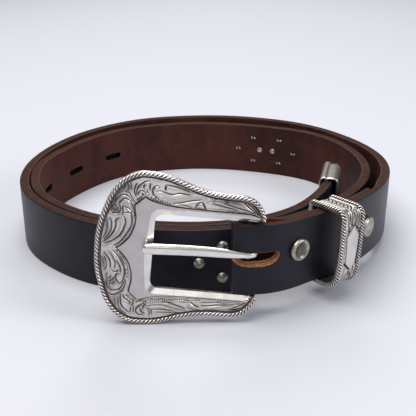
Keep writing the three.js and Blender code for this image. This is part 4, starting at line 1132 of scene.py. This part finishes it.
def to_world(points):
    """Buckle plane points to the world."""
    return BUCKLE_AT + np.asarray(points) @ BUCKLE_AXES.T


def frame_shell():
    """Plate of the buckle: one closed section carried round from arm to arm, with the relief as its height.

    Across the face the section runs window, bevel, satin panel, engraved border, and then down
    the outside, along the back and up the window's wall. Each place lies on a straight line between
    facing points of window, border and rope.
    """
    outer, border, window = facing_lines(PLATE_ROWS)
    rows = len(outer)
    gap = border - window
    reach = np.linalg.norm(gap, axis=1, keepdims=True)
    unit = gap / reach
    bevel = BEVEL_WIDTH * np.clip(reach[:, 0] / BEVEL_ROOM, 0, 1)
    cols, satin, dark = [], [], []

    def column(xy, z, is_satin=0.0, is_dark=0.0):
        """One column of points round the plate, with its two values."""
        cols.append(np.column_stack([xy, np.broadcast_to(z, rows)]))
        satin.append(np.broadcast_to(is_satin, rows))
        dark.append(np.broadcast_to(is_dark, rows))

    for share in BEVEL_SHARES:
        column(window + unit * (bevel * share)[:, None], -BEVEL_DROP * (1 - share) - 0.02, 0.1)
    for share in PANEL_SHARES:
        at = window + unit * (bevel + (reach[:, 0] - bevel) * share)[:, None]
        step = PANEL_STEP * smooth_step((share - PANEL_STEP_FROM) / (1 - PANEL_STEP_FROM))
        is_satin = 1.0 if PANEL_SATIN < share < PANEL_STEP_FROM else 0.2
        column(at, -step, is_satin, 0.95 * (share > PANEL_DARK_FROM))
    relief = buckle_relief()
    for share in np.linspace(0, 1, BORDER_COLUMNS)[1:]:
        at = border + (outer - border) * share
        height, tone = relief.read(at[:, 0], at[:, 1])
        # Sunk and dark under the rope, and down at the cut round the panel
        under = smooth_step((RECESS_REACH - np.linalg.norm(outer - at, axis=1)) / RECESS_FADE)
        near = smooth_step(np.linalg.norm(at - border, axis=1) / CUT_FADE)
        z = (height + CREST * np.sin(np.pi * share)) * (1 - under) - RECESS * under
        column(at, z * near - PANEL_STEP * (1 - near), 0.35, np.maximum(tone, 0.72 * under))
    out = directions(outer)
    out = np.stack([-out[:, 1], out[:, 0]], -1)
    for push, z in PLATE_SIDE:
        column(outer + out * push, z, 0.3, 0.3)
    for share in np.linspace(0.08, 0.92, 5):
        column(outer + (window - outer) * share, -PLATE + BACK_HOLLOW * math.sin(math.pi * share), 0.5)
    for pull, z in WINDOW_WALL:
        column(window + unit * pull, z, 0.1)
    points = np.stack(cols, 1)
    shell = Shell(["dark", "satin"])
    shell.grid(to_world(points), close_cols=True, dark=np.stack(dark, 1), satin=np.stack(satin, 1))
    for end, flip in ((0, True), (-1, False)):
        ring = points[end]
        middle = np.full((len(ring), 2), ring[:, :2].mean(0))
        flat = np.column_stack([middle, np.clip(ring[:, 2], *END_DEPTHS)])
        shell.grid(to_world(np.stack([ring, flat])), close_cols=True, flip=flip)
    return shell


def strands(angle, at, pitch, count, lay):
    """Swell of a twisted wire at an angle round it and a distance along it, and how dark its furrows are.

    swell = 1 - lay + lay |cos(count (angle + 2 pi at / pitch) / 2)| ^ 0.75
    """
    ridge = np.abs(np.cos(count * (angle[None, :] + 2 * np.pi * at[:, None] / pitch) / 2)) ** 0.75
    return 1 - lay + lay * ridge, 1 - smooth_step((ridge - 0.54) / 0.38)


def wire(centre, top, side, radius, angle, swell):
    """Circles of a radius times a swell round each point of a line, from its top axis to its side axis."""
    r = (radius * swell)[..., None]
    turn = angle[None, :, None]
    return centre[:, None] + r * (np.cos(turn) * top[:, None] + np.sin(turn) * side[:, None])


def rope(line, radius, pitch, count=3, per_lay=30, around=24, lay=0.56):
    """Twisted wire along a line in the buckle's plane, with both ends rounded off as quarter circles."""
    s = lengths(line)
    at = np.linspace(0, s[-1], int(s[-1] / pitch * per_lay))
    centre = along(line, at)
    t = directions(centre)
    side = np.cross(t, np.broadcast_to(np.array([0.0, 0, 1]), centre.shape))
    side /= np.linalg.norm(side, axis=1, keepdims=True)
    angle = np.linspace(0, 2 * np.pi, around, endpoint=False)
    swell, dark = strands(angle, at, pitch, count, lay)
    end = np.clip(np.minimum(at, s[-1] - at) / radius, 0, 1)
    swell = swell * np.sqrt(end * (2 - end))[:, None]
    return wire(centre, np.cross(side, t), side, radius, angle, swell), dark


def closed_rope(path, radius, pitch, count=3, around=18, lay=0.62, per_lay=30):
    """The same twisted wire on a closed path in a plane across the strap, with a whole number of turns."""
    loop = np.vstack([path, path[:1]])
    total = lengths(loop)[-1]
    turns = round(total / pitch)
    at = np.linspace(0, total, turns * per_lay, endpoint=False)
    centre = along(loop, at)
    side = np.broadcast_to(np.array([1.0, 0, 0]), centre.shape)
    top = np.cross(side, directions(centre, closed=True))
    angle = np.linspace(0, 2 * np.pi, around, endpoint=False)
    swell, dark = strands(angle, at, total / turns, count, lay)
    return wire(centre, top, side, radius, angle, swell), dark


def rounded_block(centre, half, power=0.35, rows=17, cols=32):
    """A superellipsoid: each axis is half size times a signed power of cosine and sine."""
    v = np.linspace(-np.pi / 2, np.pi / 2, rows)[:, None]
    h = np.linspace(0, 2 * np.pi, cols, endpoint=False)[None, :]
    x = signed_power(np.cos(v), power) * signed_power(np.cos(h), power)
    y = signed_power(np.cos(v), power) * signed_power(np.sin(h), power)
    z = signed_power(np.sin(v), power) + 0 * h
    return np.asarray(centre) + np.stack([x * half[0], y * half[1], z * half[2]], -1)[:, ::-1]


def bar_and_bosses(shell):
    """The round bar behind the arms, as circles along its middle line, and the two blocks that hold it."""
    half = WINDOW_HALF + 1.2
    angle = np.linspace(0, 2 * np.pi, 28, endpoint=False)
    ys = np.linspace(-half, half, 12)
    ring = np.stack([BAR_RADIUS * np.cos(angle), 0 * angle, BAR_RADIUS * np.sin(angle)], -1)
    points = ring[None] + np.stack([0 * ys, ys, 0 * ys - BAR_DEPTH], -1)[:, None]
    shell.grid(to_world(points), close_cols=True, flip=True)
    for side in (-1, 1):
        centre = np.array([0, side * (WINDOW_HALF + BOSS_PAST), BOSS_DEPTH])
        shell.grid(to_world(rounded_block(centre, BOSS_HALF)), close_cols=True)


# Prong


def prong_shell():
    """Polished prong: a rounded rectangle carried along its middle line, with an eye round the bar."""
    shell = Shell(["dark", "satin"])
    line = flowing(PRONG_PATH, 10)
    path = along(line, np.linspace(0, 1, 110) * lengths(line)[-1])
    far = np.clip((path[:, 0] - PRONG_PATH[0][0]) / PRONG_TIP, 0, 1)
    blunt = 0.1 + 0.9 * np.sqrt(far * (2 - far))
    t = directions(path[:, :2])
    angle = np.linspace(0, 2 * np.pi, 36, endpoint=False)
    across = signed_power(np.cos(angle), PRONG_ROUND) * (path[:, 2] * blunt)[:, None]
    high = signed_power(np.sin(angle), PRONG_ROUND) * (path[:, 3] * blunt)[:, None]
    x, z = path[:, 0:1] - t[:, 1:2] * high, path[:, 1:2] + t[:, 0:1] * high
    points = np.stack([x, PRONG_UP + across, z], -1)
    ends = [points[[k]].mean(1, keepdims=True) + np.zeros_like(points[:1]) for k in (0, -1)]
    points = np.concatenate([ends[0], points, ends[1]])
    # Painted dark reflection along the upper side, stronger towards the bar
    streak = PRONG_REFLECTION * np.exp(-(((angle - PRONG_REFLECTION_AT) / PRONG_REFLECTION_WIDTH) ** 2))
    wear_and_painted_reflection = streak[None] * smooth_step((path[:, 0] + 30) / 16)[:, None]
    wear_and_painted_reflection = np.concatenate([wear_and_painted_reflection[:1], wear_and_painted_reflection, wear_and_painted_reflection[-1:]])
    shell.grid(to_world(points), close_cols=True, dark=wear_and_painted_reflection)
    ring = np.linspace(0, 2 * np.pi, 24, endpoint=False)
    around = np.linspace(0, 2 * np.pi, 48, endpoint=False)
    r = EYE_RADIUS + EYE_HALF[0] * signed_power(np.cos(ring), PRONG_ROUND)
    w = EYE_UP + EYE_HALF[1] * signed_power(np.sin(ring), PRONG_ROUND)
    eye = np.stack([r[None] * np.cos(around)[:, None], np.broadcast_to(w, (48, 24)),
                    -BAR_DEPTH + r[None] * np.sin(around)[:, None]], -1)
    shell.grid(to_world(eye), close_rows=True, close_cols=True, satin=0.5, dark=0.3)
    return shell


# Keeper


def quarter(cx, cy, r, start, count=14):
    """A quarter circle round a middle, anticlockwise from an angle in degrees."""
    a = np.radians(np.linspace(start, start + 90, count))
    return np.stack([cx + r * np.cos(a), cy + r * np.sin(a)], -1)


def keeper_line():
    """Outer face of the keeper's section, anticlockwise from the middle of its front, and its normals.

    A rectangle with a radius of its own at each corner, whose front bows out by a cosine of the height.
    """
    w = KEEPER_WALL
    front, back, top, low = KEEPER_FRONT + w, KEEPER_BACK - w, KEEPER_TOP + w, KEEPER_LOW - w
    r1, r2, r3, r4 = KEEPER_CORNERS
    corners = [quarter(front - r1, top - r1, r1, 0), quarter(back + r2, top - r2, r2, 90),
               quarter(back + r3, low + r3, r3, 180), quarter(front - r4, low + r4, r4, 270)]
    start = np.array([[front, 0.0]])
    line = np.vstack([start, *corners, start])
    fine = along(line, np.linspace(0, lengths(line)[-1], 601))[:-1]
    bow = 0.35 * np.cos(np.clip(fine[:, 1] / 12.5, -1, 1) * np.pi / 2) - 0.2
    fine[:, 0] += bow * (fine[:, 0] > 0)
    t = directions(fine, closed=True)
    return fine, np.stack([t[:, 1], -t[:, 0]], -1)


def keeper_relief(total):
    """Leaf lines, barbs, shield and a bead row on the band: y runs round it from the middle of the front."""
    half = total / 2 + 1
    relief = Relief((-4.0, -half), (4.0, half), 0.05, crown=0.28, spread=0.5, depth=0.32, shade=0.12)
    barbs = BARB_START + BARB_STEP * np.arange(BARB_COUNT)
    for sign in (-1, 1):
        for width, dark, points in KEEPER_CUTS:
            relief.cut(np.array(points) * (sign, 1) + (LEAF_SHIFT, 0), LEAF_WIDTH * width, dark)
        for at in barbs[barbs < total / 2 - 1]:
            for way in (-1, 1):
                barb = (BARB + (0, at)) * (sign, way) + (0.4 * LEAF_SHIFT, 0)
                relief.cut(barb, 0.2, 1.0)
                relief.cut(barb * (0.8, 1) + (0, 0.65 * way), 0.08, 0.6)
    relief.plain(SHIELD, lift=0.12, shade=0.0, rim=0.16)
    relief.beads([(-2.9, -6.2), (-3.5, 5.2)], spacing=0.55, radius=0.2, curved=False)
    # A real groove beside the upper rope, whose dark colour is a painted shadow of the rope
    relief.cut([(4.1, -6.4), (4.3, 5.0)], 0.14, 0.9, curved=False)
    return relief


def keeper_shell():
    """Engraved band: the section's line carried across, with the relief as its height, and two ropes."""
    line, normal = keeper_line()
    s = lengths(np.vstack([line, line[:1]]))
    total, s = s[-1], s[:-1]
    y = np.where(s > total / 2, s - total, s)
    relief = keeper_relief(total)
    cols, tones, sheen = [], [], []

    def column(x, height, dark, satin):
        """One column of points round the band, at a height above its outer face, with its two values."""
        out = line + normal * np.reshape(height, (-1, 1))
        cols.append(np.column_stack([np.full(len(y), x), out[:, 1], out[:, 0]]))
        tones.append(np.broadcast_to(dark, len(y)))
        sheen.append(np.broadcast_to(satin, len(y)))

    low_x, high_x = KEEPER_BAND
    for x in (low_x - 1.2, low_x - 0.4, *np.linspace(low_x, high_x, 84), high_x + 0.4, high_x + 1.2):
        height, tone = relief.read(np.full(len(y), x), y)
        flat = smooth_step((x - low_x + 0.05) / 0.25) * smooth_step((high_x + 0.05 - x) / 0.25)
        # A little patina on the engraved field, and painted shade: darker on the top and the bottom, and a
        # painted shadow beside the upper rope
        patina_and_painted_shade = np.where(tone < 0.02, 0.0, 0.05) + 0.22 * smooth_step((np.abs(y) - 10) / 5)
        patina_and_painted_shade = np.maximum(patina_and_painted_shade, 0.75 * smooth_step((x - high_x + 0.55) / 0.35))
        dark = np.clip(np.maximum(patina_and_painted_shade + 1.6 * tone**1.5, 1 - flat), 0, 1)
        satin = 0.3 + 0.3 * ((np.abs(y) < 8) & (tone < 0.3))
        column(x, height * flat - KEEPER_CHANNEL * (1 - flat), dark, satin)
    rim = KEEPER_HALF - 0.25
    inside = [(rim, 0.5), (rim - 0.1, 1.1), (rim - 0.5, KEEPER_WALL), (1.4, KEEPER_WALL)]
    for x, deep in inside + [(-x, deep) for x, deep in inside[::-1]]:
        column(x, -deep, 0.5, 0.3)
    origin, axes = face_frame(KEEPER_AT)
    axes = rotation("Z", KEEPER_TILT) @ axes
    shell = Shell(["dark", "satin"])
    shell.grid(placed(np.stack(cols, 1), origin, axes), close_rows=True, close_cols=True, flip=True,
               dark=np.stack(tones, 1), satin=np.stack(sheen, 1))
    ring = line - 0.1 * normal
    for side, radius in KEEPER_ROPES:
        path = np.column_stack([np.full(len(ring), side * (KEEPER_HALF - radius)), ring[:, 1], ring[:, 0]])
        points, dark = closed_rope(path, radius, KEEPER_ROPE_PITCH)
        shell.grid(placed(points, origin, axes), close_rows=True, close_cols=True, flip=True,
                   dark=np.clip(2.2 * dark, 0, 1), satin=0.2)
    return shell


# Strap tip


def tip_outline(length, straight, room, count=160):
    """Outline square to the strap: straight sides from the mouth, and a round end of two Bezier arcs."""
    half = STRAP_WIDTH / 2 + room
    t = np.linspace(0, 1, 60)[:, None]
    a, b = np.array([straight, -half]), np.array([straight + 6, -half])
    c, d = np.array([length, -half / 2]), np.array([length, 0])
    curve = a * (1 - t) ** 3 + 3 * b * t * (1 - t) ** 2 + 3 * c * t**2 * (1 - t) + d * t**3
    side = np.vstack([[(0, -half)], curve])
    line = mirrored(side[::-1] * (1, -1))[::-1]
    return along(line, np.linspace(0, lengths(line)[-1], count))


def tip_layer(shell, size, rim, dome, flip):
    """One sheet of the tip: a rim profile of (inset, depth) swept round the outline, then a crowned face.

    The face runs from the rim to the middle line, and its height adds dome (1 - k^2).
    """
    outline = tip_outline(*size)
    t = directions(outline)
    inward = np.stack([-t[:, 1], t[:, 0]], -1)
    # The normals point inwards, whichever way round the outline runs
    if ((TIP_MIDDLE - outline) * inward).sum() < 0:
        inward = -inward
    rows = [np.column_stack([outline + inward * inset, np.full(len(outline), depth)]) for inset, depth in rim]
    last = rows[-1][:, :2]
    spine = np.column_stack([np.clip(last[:, 0], 0, size[1] - 3), 0 * last[:, 0]])
    for k in np.linspace(1, 0, 14)[1:]:
        depth = rim[-1][1] + dome * (1 - k * k)
        rows.append(np.column_stack([spine + (last - spine) * k, np.full(len(last), depth)]))
    points = np.stack(rows)
    wear_and_painted_reflection = TIP_WORN * smooth_step((points[..., 0] - 0.4) / 0.8)
    points[..., 0] = np.maximum(points[..., 0], 0) - TIP_DEPTH / 2
    origin, axes = face_frame(LINE_LENGTH - TIP_DEPTH / 2)
    sheen = np.where(np.arange(len(rows)) < len(rim), 0.9, 1.0)[:, None]
    sheen = np.broadcast_to(sheen, points.shape[:2])
    shell.grid(placed(points, origin, axes), flip=flip, satin=sheen, dark=wear_and_painted_reflection)


def tip_shell():
    """Strap tip: a shell over the black side and a rounded strip behind, with a groove between them."""
    shell = Shell(["dark", "satin"])
    back = TIP_STRIP_THICK - STRAP_THICKNESS - TIP_PROUD
    low, front = back + TIP_GROOVE, TIP_PROUD
    shell_rim = [(1.3, low), (0.5, low), (0.12, low + 0.18), (0, low + 0.55), (0, front - 1.3),
                 (0.1, front - 0.8), (0.4, front - 0.4), (0.9, front - 0.18), (1.6, front - 0.1)]
    strip_rim = [(1.3, back), (0.6, back), (0.2, back - 0.15), (0, back - 0.45), (0, back - 0.85),
                 (0.15, back - 1.25), (0.55, back - 1.58), (1.2, back - 1.7)]
    tip_layer(shell, TIP_SHELL, shell_rim, 0.1, True)
    tip_layer(shell, TIP_STRIP, strip_rim, -0.05, False)
    return shell


# Fasteners


def turned(profile, segments=40):
    """A profile of (radius, height) carried round the z axis, from the axis back to the axis."""
    profile = np.asarray(profile, float)
    angle = np.linspace(0, 2 * np.pi, segments, endpoint=False)
    r, h = profile[:, None, 0], profile[:, None, 1]
    return np.stack([r * np.cos(angle), r * np.sin(angle), h + 0 * angle], -1)


def fastener_shell(profile, s, up=0.0, segments=40, dimming=0.0):
    """A turned fastener square to the black face. Its last argument is how dark the metal is at each profile
    point: a painted dark reflection in a rivet's dish, and on a stud darker towards the leather.
    """
    shell = Shell(["dark"])
    origin, axes = face_frame(s, up)
    points = placed(turned(profile, segments), origin, axes)
    tone = np.broadcast_to(np.asarray(dimming, float).reshape(-1, 1), points.shape[:2])
    shell.grid(points, close_cols=True, flip=True, dark=tone)
    return shell


def rivet_profile(s):
    """Rivet through the fold at a distance s: a cap behind both layers, a shank, and a head with a dish."""
    back = -(FRONT_LAYER + float(fold_room(s)) + FLAP + RIVET_BACK_ROOM)
    cap = [(0, -1), (2.4, -1), (3.0, -0.85), (3.35, -0.5), (3.4, -0.15), (3.3, 0.3), (1.5, 0.3)]
    return [(r, back + h) for r, h in cap] + RIVET_HEAD


def clinch(shell, s, x, y, lean):
    """A leg's end bent flat on the flesh side: a small half-buried superellipsoid."""
    origin, axes = face_frame(s)
    block = rounded_block((0, 0, 0), LEG_HALF, power=0.85, rows=9, cols=14)
    c, d = math.cos(lean), math.sin(lean)
    turn = np.array([[c, d, 0], [-d, c, 0], [0, 0, 1]])
    points = block @ turn + (x, y, -STRAP_THICKNESS - LEG_SUNK)
    shell.grid(placed(points, origin, axes), close_cols=True, dark=LEG_DULL)


# Settings that a user would change


class LeatherSettings(bpy.types.PropertyGroup):
    """Colours and roughness of the leather"""
    black: FloatVectorProperty(name="Black side", description="Colour of the dyed grain side",
                               subtype="COLOR", size=3, default=(0.0036, 0.0038, 0.0062), min=0, max=1)
    edge: FloatVectorProperty(name="Cut edge", description="Colour of the raw edge",
                              subtype="COLOR", size=3, default=(0.056, 0.0245, 0.015), min=0, max=1)
    flesh: FloatVectorProperty(name="Flesh side", description="Colour of the inner side",
                               subtype="COLOR", size=3, default=(0.034, 0.0092, 0.0078), min=0, max=1)
    slot_edge: FloatVectorProperty(name="Slot edge", description="Colour of the freshly cut slot at the fold",
                                   subtype="COLOR", size=3, default=(0.40, 0.185, 0.095), min=0, max=1)
    sheen_roughness: FloatProperty(name="Grain roughness", description="Roughness of the black side",
                                   subtype="FACTOR", default=0.42, min=0.1, max=0.9)


class MetalSettings(bpy.types.PropertyGroup):
    """Colours of the metals, and the measures of the rope edge and the fasteners"""
    silver: FloatVectorProperty(name="Silver", description="Colour of the bright plate",
                                subtype="COLOR", size=3, default=(0.84, 0.81, 0.77), min=0, max=1)
    satin: FloatVectorProperty(name="Satin panel", description="Colour of the matt panel",
                               subtype="COLOR", size=3, default=(0.56, 0.535, 0.53), min=0, max=1)
    # Colour of the patina in the cuts, also used for the painted shade on the keeper and the painted reflection
    # on the prong
    tarnish_and_painted_shade: FloatVectorProperty(name="Recesses", description="Colour of the darkened cuts",
                                 subtype="COLOR", size=3, default=(0.078, 0.047, 0.041), min=0, max=1)
    nickel: FloatVectorProperty(name="Nickel", description="Colour of studs and rivets",
                                subtype="COLOR", size=3, default=(0.50, 0.46, 0.40), min=0, max=1)
    polish_roughness: FloatProperty(name="Polish", description="Roughness of the bright silver",
                                    subtype="FACTOR", default=0.18, min=0.02, max=0.8)
    rope_pitch: FloatProperty(name="Rope pitch", description="Length of one turn of the rope edge",
                              unit="LENGTH", default=0.004, min=0.001, max=0.01)
    stud_sides: IntProperty(name="Stud sides", description="Faces round each turned fastener",
                            default=40, min=12, max=96)


class StageSettings(bpy.types.PropertyGroup):
    """Floor and light"""
    floor: FloatVectorProperty(name="Floor", description="Colour of the floor",
                               subtype="COLOR", size=3, default=(0.545, 0.55, 0.60), min=0, max=1)
    reach: FloatProperty(name="Floor size", description="Half the floor's width",
                         unit="LENGTH", default=6.0, min=1.0, max=50.0)
    key: FloatProperty(name="Main light", description="Power of the large light above",
                       unit="POWER", default=14.2, min=0.0, max=500.0)
    fill: FloatProperty(name="Room light", description="Strength of the even light all round",
                        default=0.27, min=0.0, max=5.0)


# Operators


class BeltOperator:
    """Shared options of the belt's operators."""
    bl_options = {"REGISTER", "UNDO"}


class BELT_OT_strap(BeltOperator, bpy.types.Operator):
    """Builds the leather strap with its fold, slot and holes"""
    bl_idname = "belt.strap"
    bl_label = "Strap"

    def execute(self, context):
        """Makes the strap, with a leather for each side and one for the edges."""
        look = context.scene.belt_leather
        leather = [grain_leather(look), edge_leather(look), flesh_leather(look)]
        make_piece("strap_leather", strap_shell(), "belt", ["strap"], leather, sharp=60)
        return {"FINISHED"}


class BELT_OT_buckle(BeltOperator, bpy.types.Operator):
    """Builds the engraved buckle frame with its bar and its rope edge"""
    bl_idname = "belt.buckle"
    bl_label = "Buckle frame"

    def execute(self, context):
        """Makes the plate with its bar, and the rope edge."""
        shell = frame_shell()
        bar_and_bosses(shell)
        metal_piece(context, "buckle_plate", shell, "frame", "buckle_frame", sharp=50)
        line = mirrored(flowing(HALF_OUTLINE)) + (0, ORNAMENT_UP)
        path = np.column_stack([line, np.full(len(line), ROPE_TOP - ROPE_RADIUS)])
        points, dark = rope(path, ROPE_RADIUS, context.scene.belt_metal.rope_pitch / MM)
        edge = Shell(["dark", "satin"])
        edge.grid(to_world(points), close_cols=True, dark=dark)
        metal_piece(context, "buckle_rope_edge", edge, "frame", "buckle_frame", sharp=75)
        return {"FINISHED"}


class BELT_OT_prong(BeltOperator, bpy.types.Operator):
    """Builds the polished prong and its eye"""
    bl_idname = "belt.prong"
    bl_label = "Prong"

    def execute(self, context):
        """Makes the prong."""
        metal_piece(context, "prong", prong_shell(), "prong", "buckle_prong", sharp=60)
        return {"FINISHED"}


class BELT_OT_keeper(BeltOperator, bpy.types.Operator):
    """Builds the engraved keeper with its two rope rims"""
    bl_idname = "belt.keeper"
    bl_label = "Keeper"

    def execute(self, context):
        """Makes the keeper."""
        metal_piece(context, "keeper_loop", keeper_shell(), "keeper_loop", "keeper", sharp=60)
        return {"FINISHED"}


class BELT_OT_tip(BeltOperator, bpy.types.Operator):
    """Builds the strap tip: a shell over the black side and a rounded strip behind"""
    bl_idname = "belt.tip"
    bl_label = "Strap tip"

    def execute(self, context):
        """Makes the tip, and gives its sheets their thickness."""
        piece = metal_piece(context, "tip_shell", tip_shell(), "belt", "strap_tip", sharp=60)
        wall = piece.modifiers.new("Wall", "SOLIDIFY")
        wall.thickness = TIP_WALL * MM
        wall.offset = -1
        return {"FINISHED"}


class BELT_OT_rivets(BeltOperator, bpy.types.Operator):
    """Builds the two rivets that close the fold"""
    bl_idname = "belt.rivets"
    bl_label = "Fold rivets"

    def execute(self, context):
        """Makes both rivets."""
        sides = context.scene.belt_metal.stud_sides
        # The dark value of each rivet is a painted reflection in its dish
        for i, (s, up, dimming) in enumerate(RIVETS, 1):
            shell = fastener_shell(rivet_profile(s), s, up, sides, RIVET_DISH_REFLECTION * dimming)
            metal_piece(context, f"rivet_{i}", shell, "belt", f"fold_rivet_{i}", sharp=50, slot="dull_nickel")
        return {"FINISHED"}


class BELT_OT_studs(BeltOperator, bpy.types.Operator):
    """Builds both clusters of dome studs with their bent legs, and the two posts"""
    bl_idname = "belt.studs"
    bl_label = "Studs and posts"

    def execute(self, context):
        """Makes the studs, each with two legs, and the posts."""
        sides = context.scene.belt_metal.stud_sides
        for name, middle in (("front_stud", FRONT_CLUSTER), ("back_stud", BACK_CLUSTER)):
            for i, (run, up) in enumerate(STUDS):
                shell = fastener_shell(STUD_PROFILE, middle + run, up, sides, STUD_DIMMING)
                for side in (-1, 1):
                    clinch(shell, middle + run, LEG_AT * side, up, 0.5 * side + 0.3 * i)
                metal_piece(context, f"{name}_dome_{i + 1}", shell, "belt", f"{name}_{i + 1}", sharp=50,
                            slot="dull_nickel")
        for i, run in enumerate(POSTS, 1):
            shell = fastener_shell(POST_PROFILE, BACK_CLUSTER + run, 0.0, sides)
            metal_piece(context, f"post_{i}", shell, "belt", f"back_post_{i}", sharp=50, slot="dull_nickel")
        return {"FINISHED"}


class BELT_OT_stage(BeltOperator, bpy.types.Operator):
    """Sets the floor, the soft lights and the camera"""
    bl_idname = "belt.stage"
    bl_label = "Floor, lights and camera"

    def execute(self, context):
        """Makes the floor, the room's light, the lights and the camera."""
        look = context.scene.belt_stage
        r = look.reach
        mesh = bpy.data.meshes.new("floor")
        mesh.from_pydata([(-r, -r, 0), (r, -r, 0), (r, r, 0), (-r, r, 0)], [], [(0, 1, 2, 3)])
        floor = linked(context, "floor", mesh)
        material, _, paper = shader("floor_paper", Roughness=0.8)
        paper.inputs["Base Color"].default_value = rgb(look.floor)
        paper.inputs["Specular IOR Level"].default_value = 0.2
        mesh.materials.append(material)
        world = bpy.data.worlds.new("room")
        world.use_nodes = True
        background = world.node_tree.nodes["Background"]
        background.inputs[0].default_value = ROOM_COLOUR
        background.inputs[1].default_value = look.fill
        context.scene.world = world
        context.scene.view_settings.view_transform = "Standard"
        for name, at, size, share, tint in LIGHTS:
            data = bpy.data.lights.new(name, "AREA")
            data.shape, data.size, data.energy, data.color = "DISK", size, look.key * share, tint
            light = linked(context, name, data)
            light.location = at
            light.rotation_euler = Vector(LIGHT_AIM - np.array(at)).to_track_quat("-Z", "Y").to_euler()
        data = bpy.data.cameras.new("camera")
        data.sensor_width = SENSOR
        data.lens = SENSOR * CAMERA_FOCAL / IMAGE
        data.clip_start, data.clip_end = 0.01, 50
        camera = linked(context, "camera", data)
        camera.location = [c * MM for c in CAMERA_AT]
        camera.rotation_euler = (math.radians(90 - CAMERA_PITCH), 0, 0)
        context.scene.camera = camera
        return {"FINISHED"}


OPERATORS = (BELT_OT_stage, BELT_OT_strap, BELT_OT_buckle, BELT_OT_prong, BELT_OT_keeper, BELT_OT_tip,
             BELT_OT_rivets, BELT_OT_studs)


class BELT_PT_panel(bpy.types.Panel):
    """Lists the belt's settings and the operators that build it"""
    bl_label = "Western belt"
    bl_idname = "BELT_PT_panel"
    bl_space_type = "VIEW_3D"
    bl_region_type = "UI"
    bl_category = "Belt"

    def draw(self, context):
        """Draws a box of settings for each group, and then the operators."""
        for title in ("Leather", "Metal", "Stage"):
            group = getattr(context.scene, "belt_" + title.lower())
            box = self.layout.box()
            box.label(text=title)
            for key in group.__annotations__:
                box.prop(group, key)
        for operator in OPERATORS:
            self.layout.operator(operator.bl_idname)


CLASSES = (LeatherSettings, MetalSettings, StageSettings, *OPERATORS, BELT_PT_panel)


def register():
    """Adds the classes, and the settings to the scene."""
    for cls in CLASSES:
        bpy.utils.register_class(cls)
    bpy.types.Scene.belt_leather = PointerProperty(type=LeatherSettings)
    bpy.types.Scene.belt_metal = PointerProperty(type=MetalSettings)
    bpy.types.Scene.belt_stage = PointerProperty(type=StageSettings)


def unregister():
    """Takes the settings and the classes away again."""
    for name in ("belt_leather", "belt_metal", "belt_stage"):
        delattr(bpy.types.Scene, name)
    for cls in reversed(CLASSES):
        bpy.utils.unregister_class(cls)


def main():
    """Builds the belt and its stage."""
    register()
    for operator in OPERATORS:
        group, name = operator.bl_idname.split(".")
        getattr(getattr(bpy.ops, group), name)()


if __name__ == "__main__":
    main()
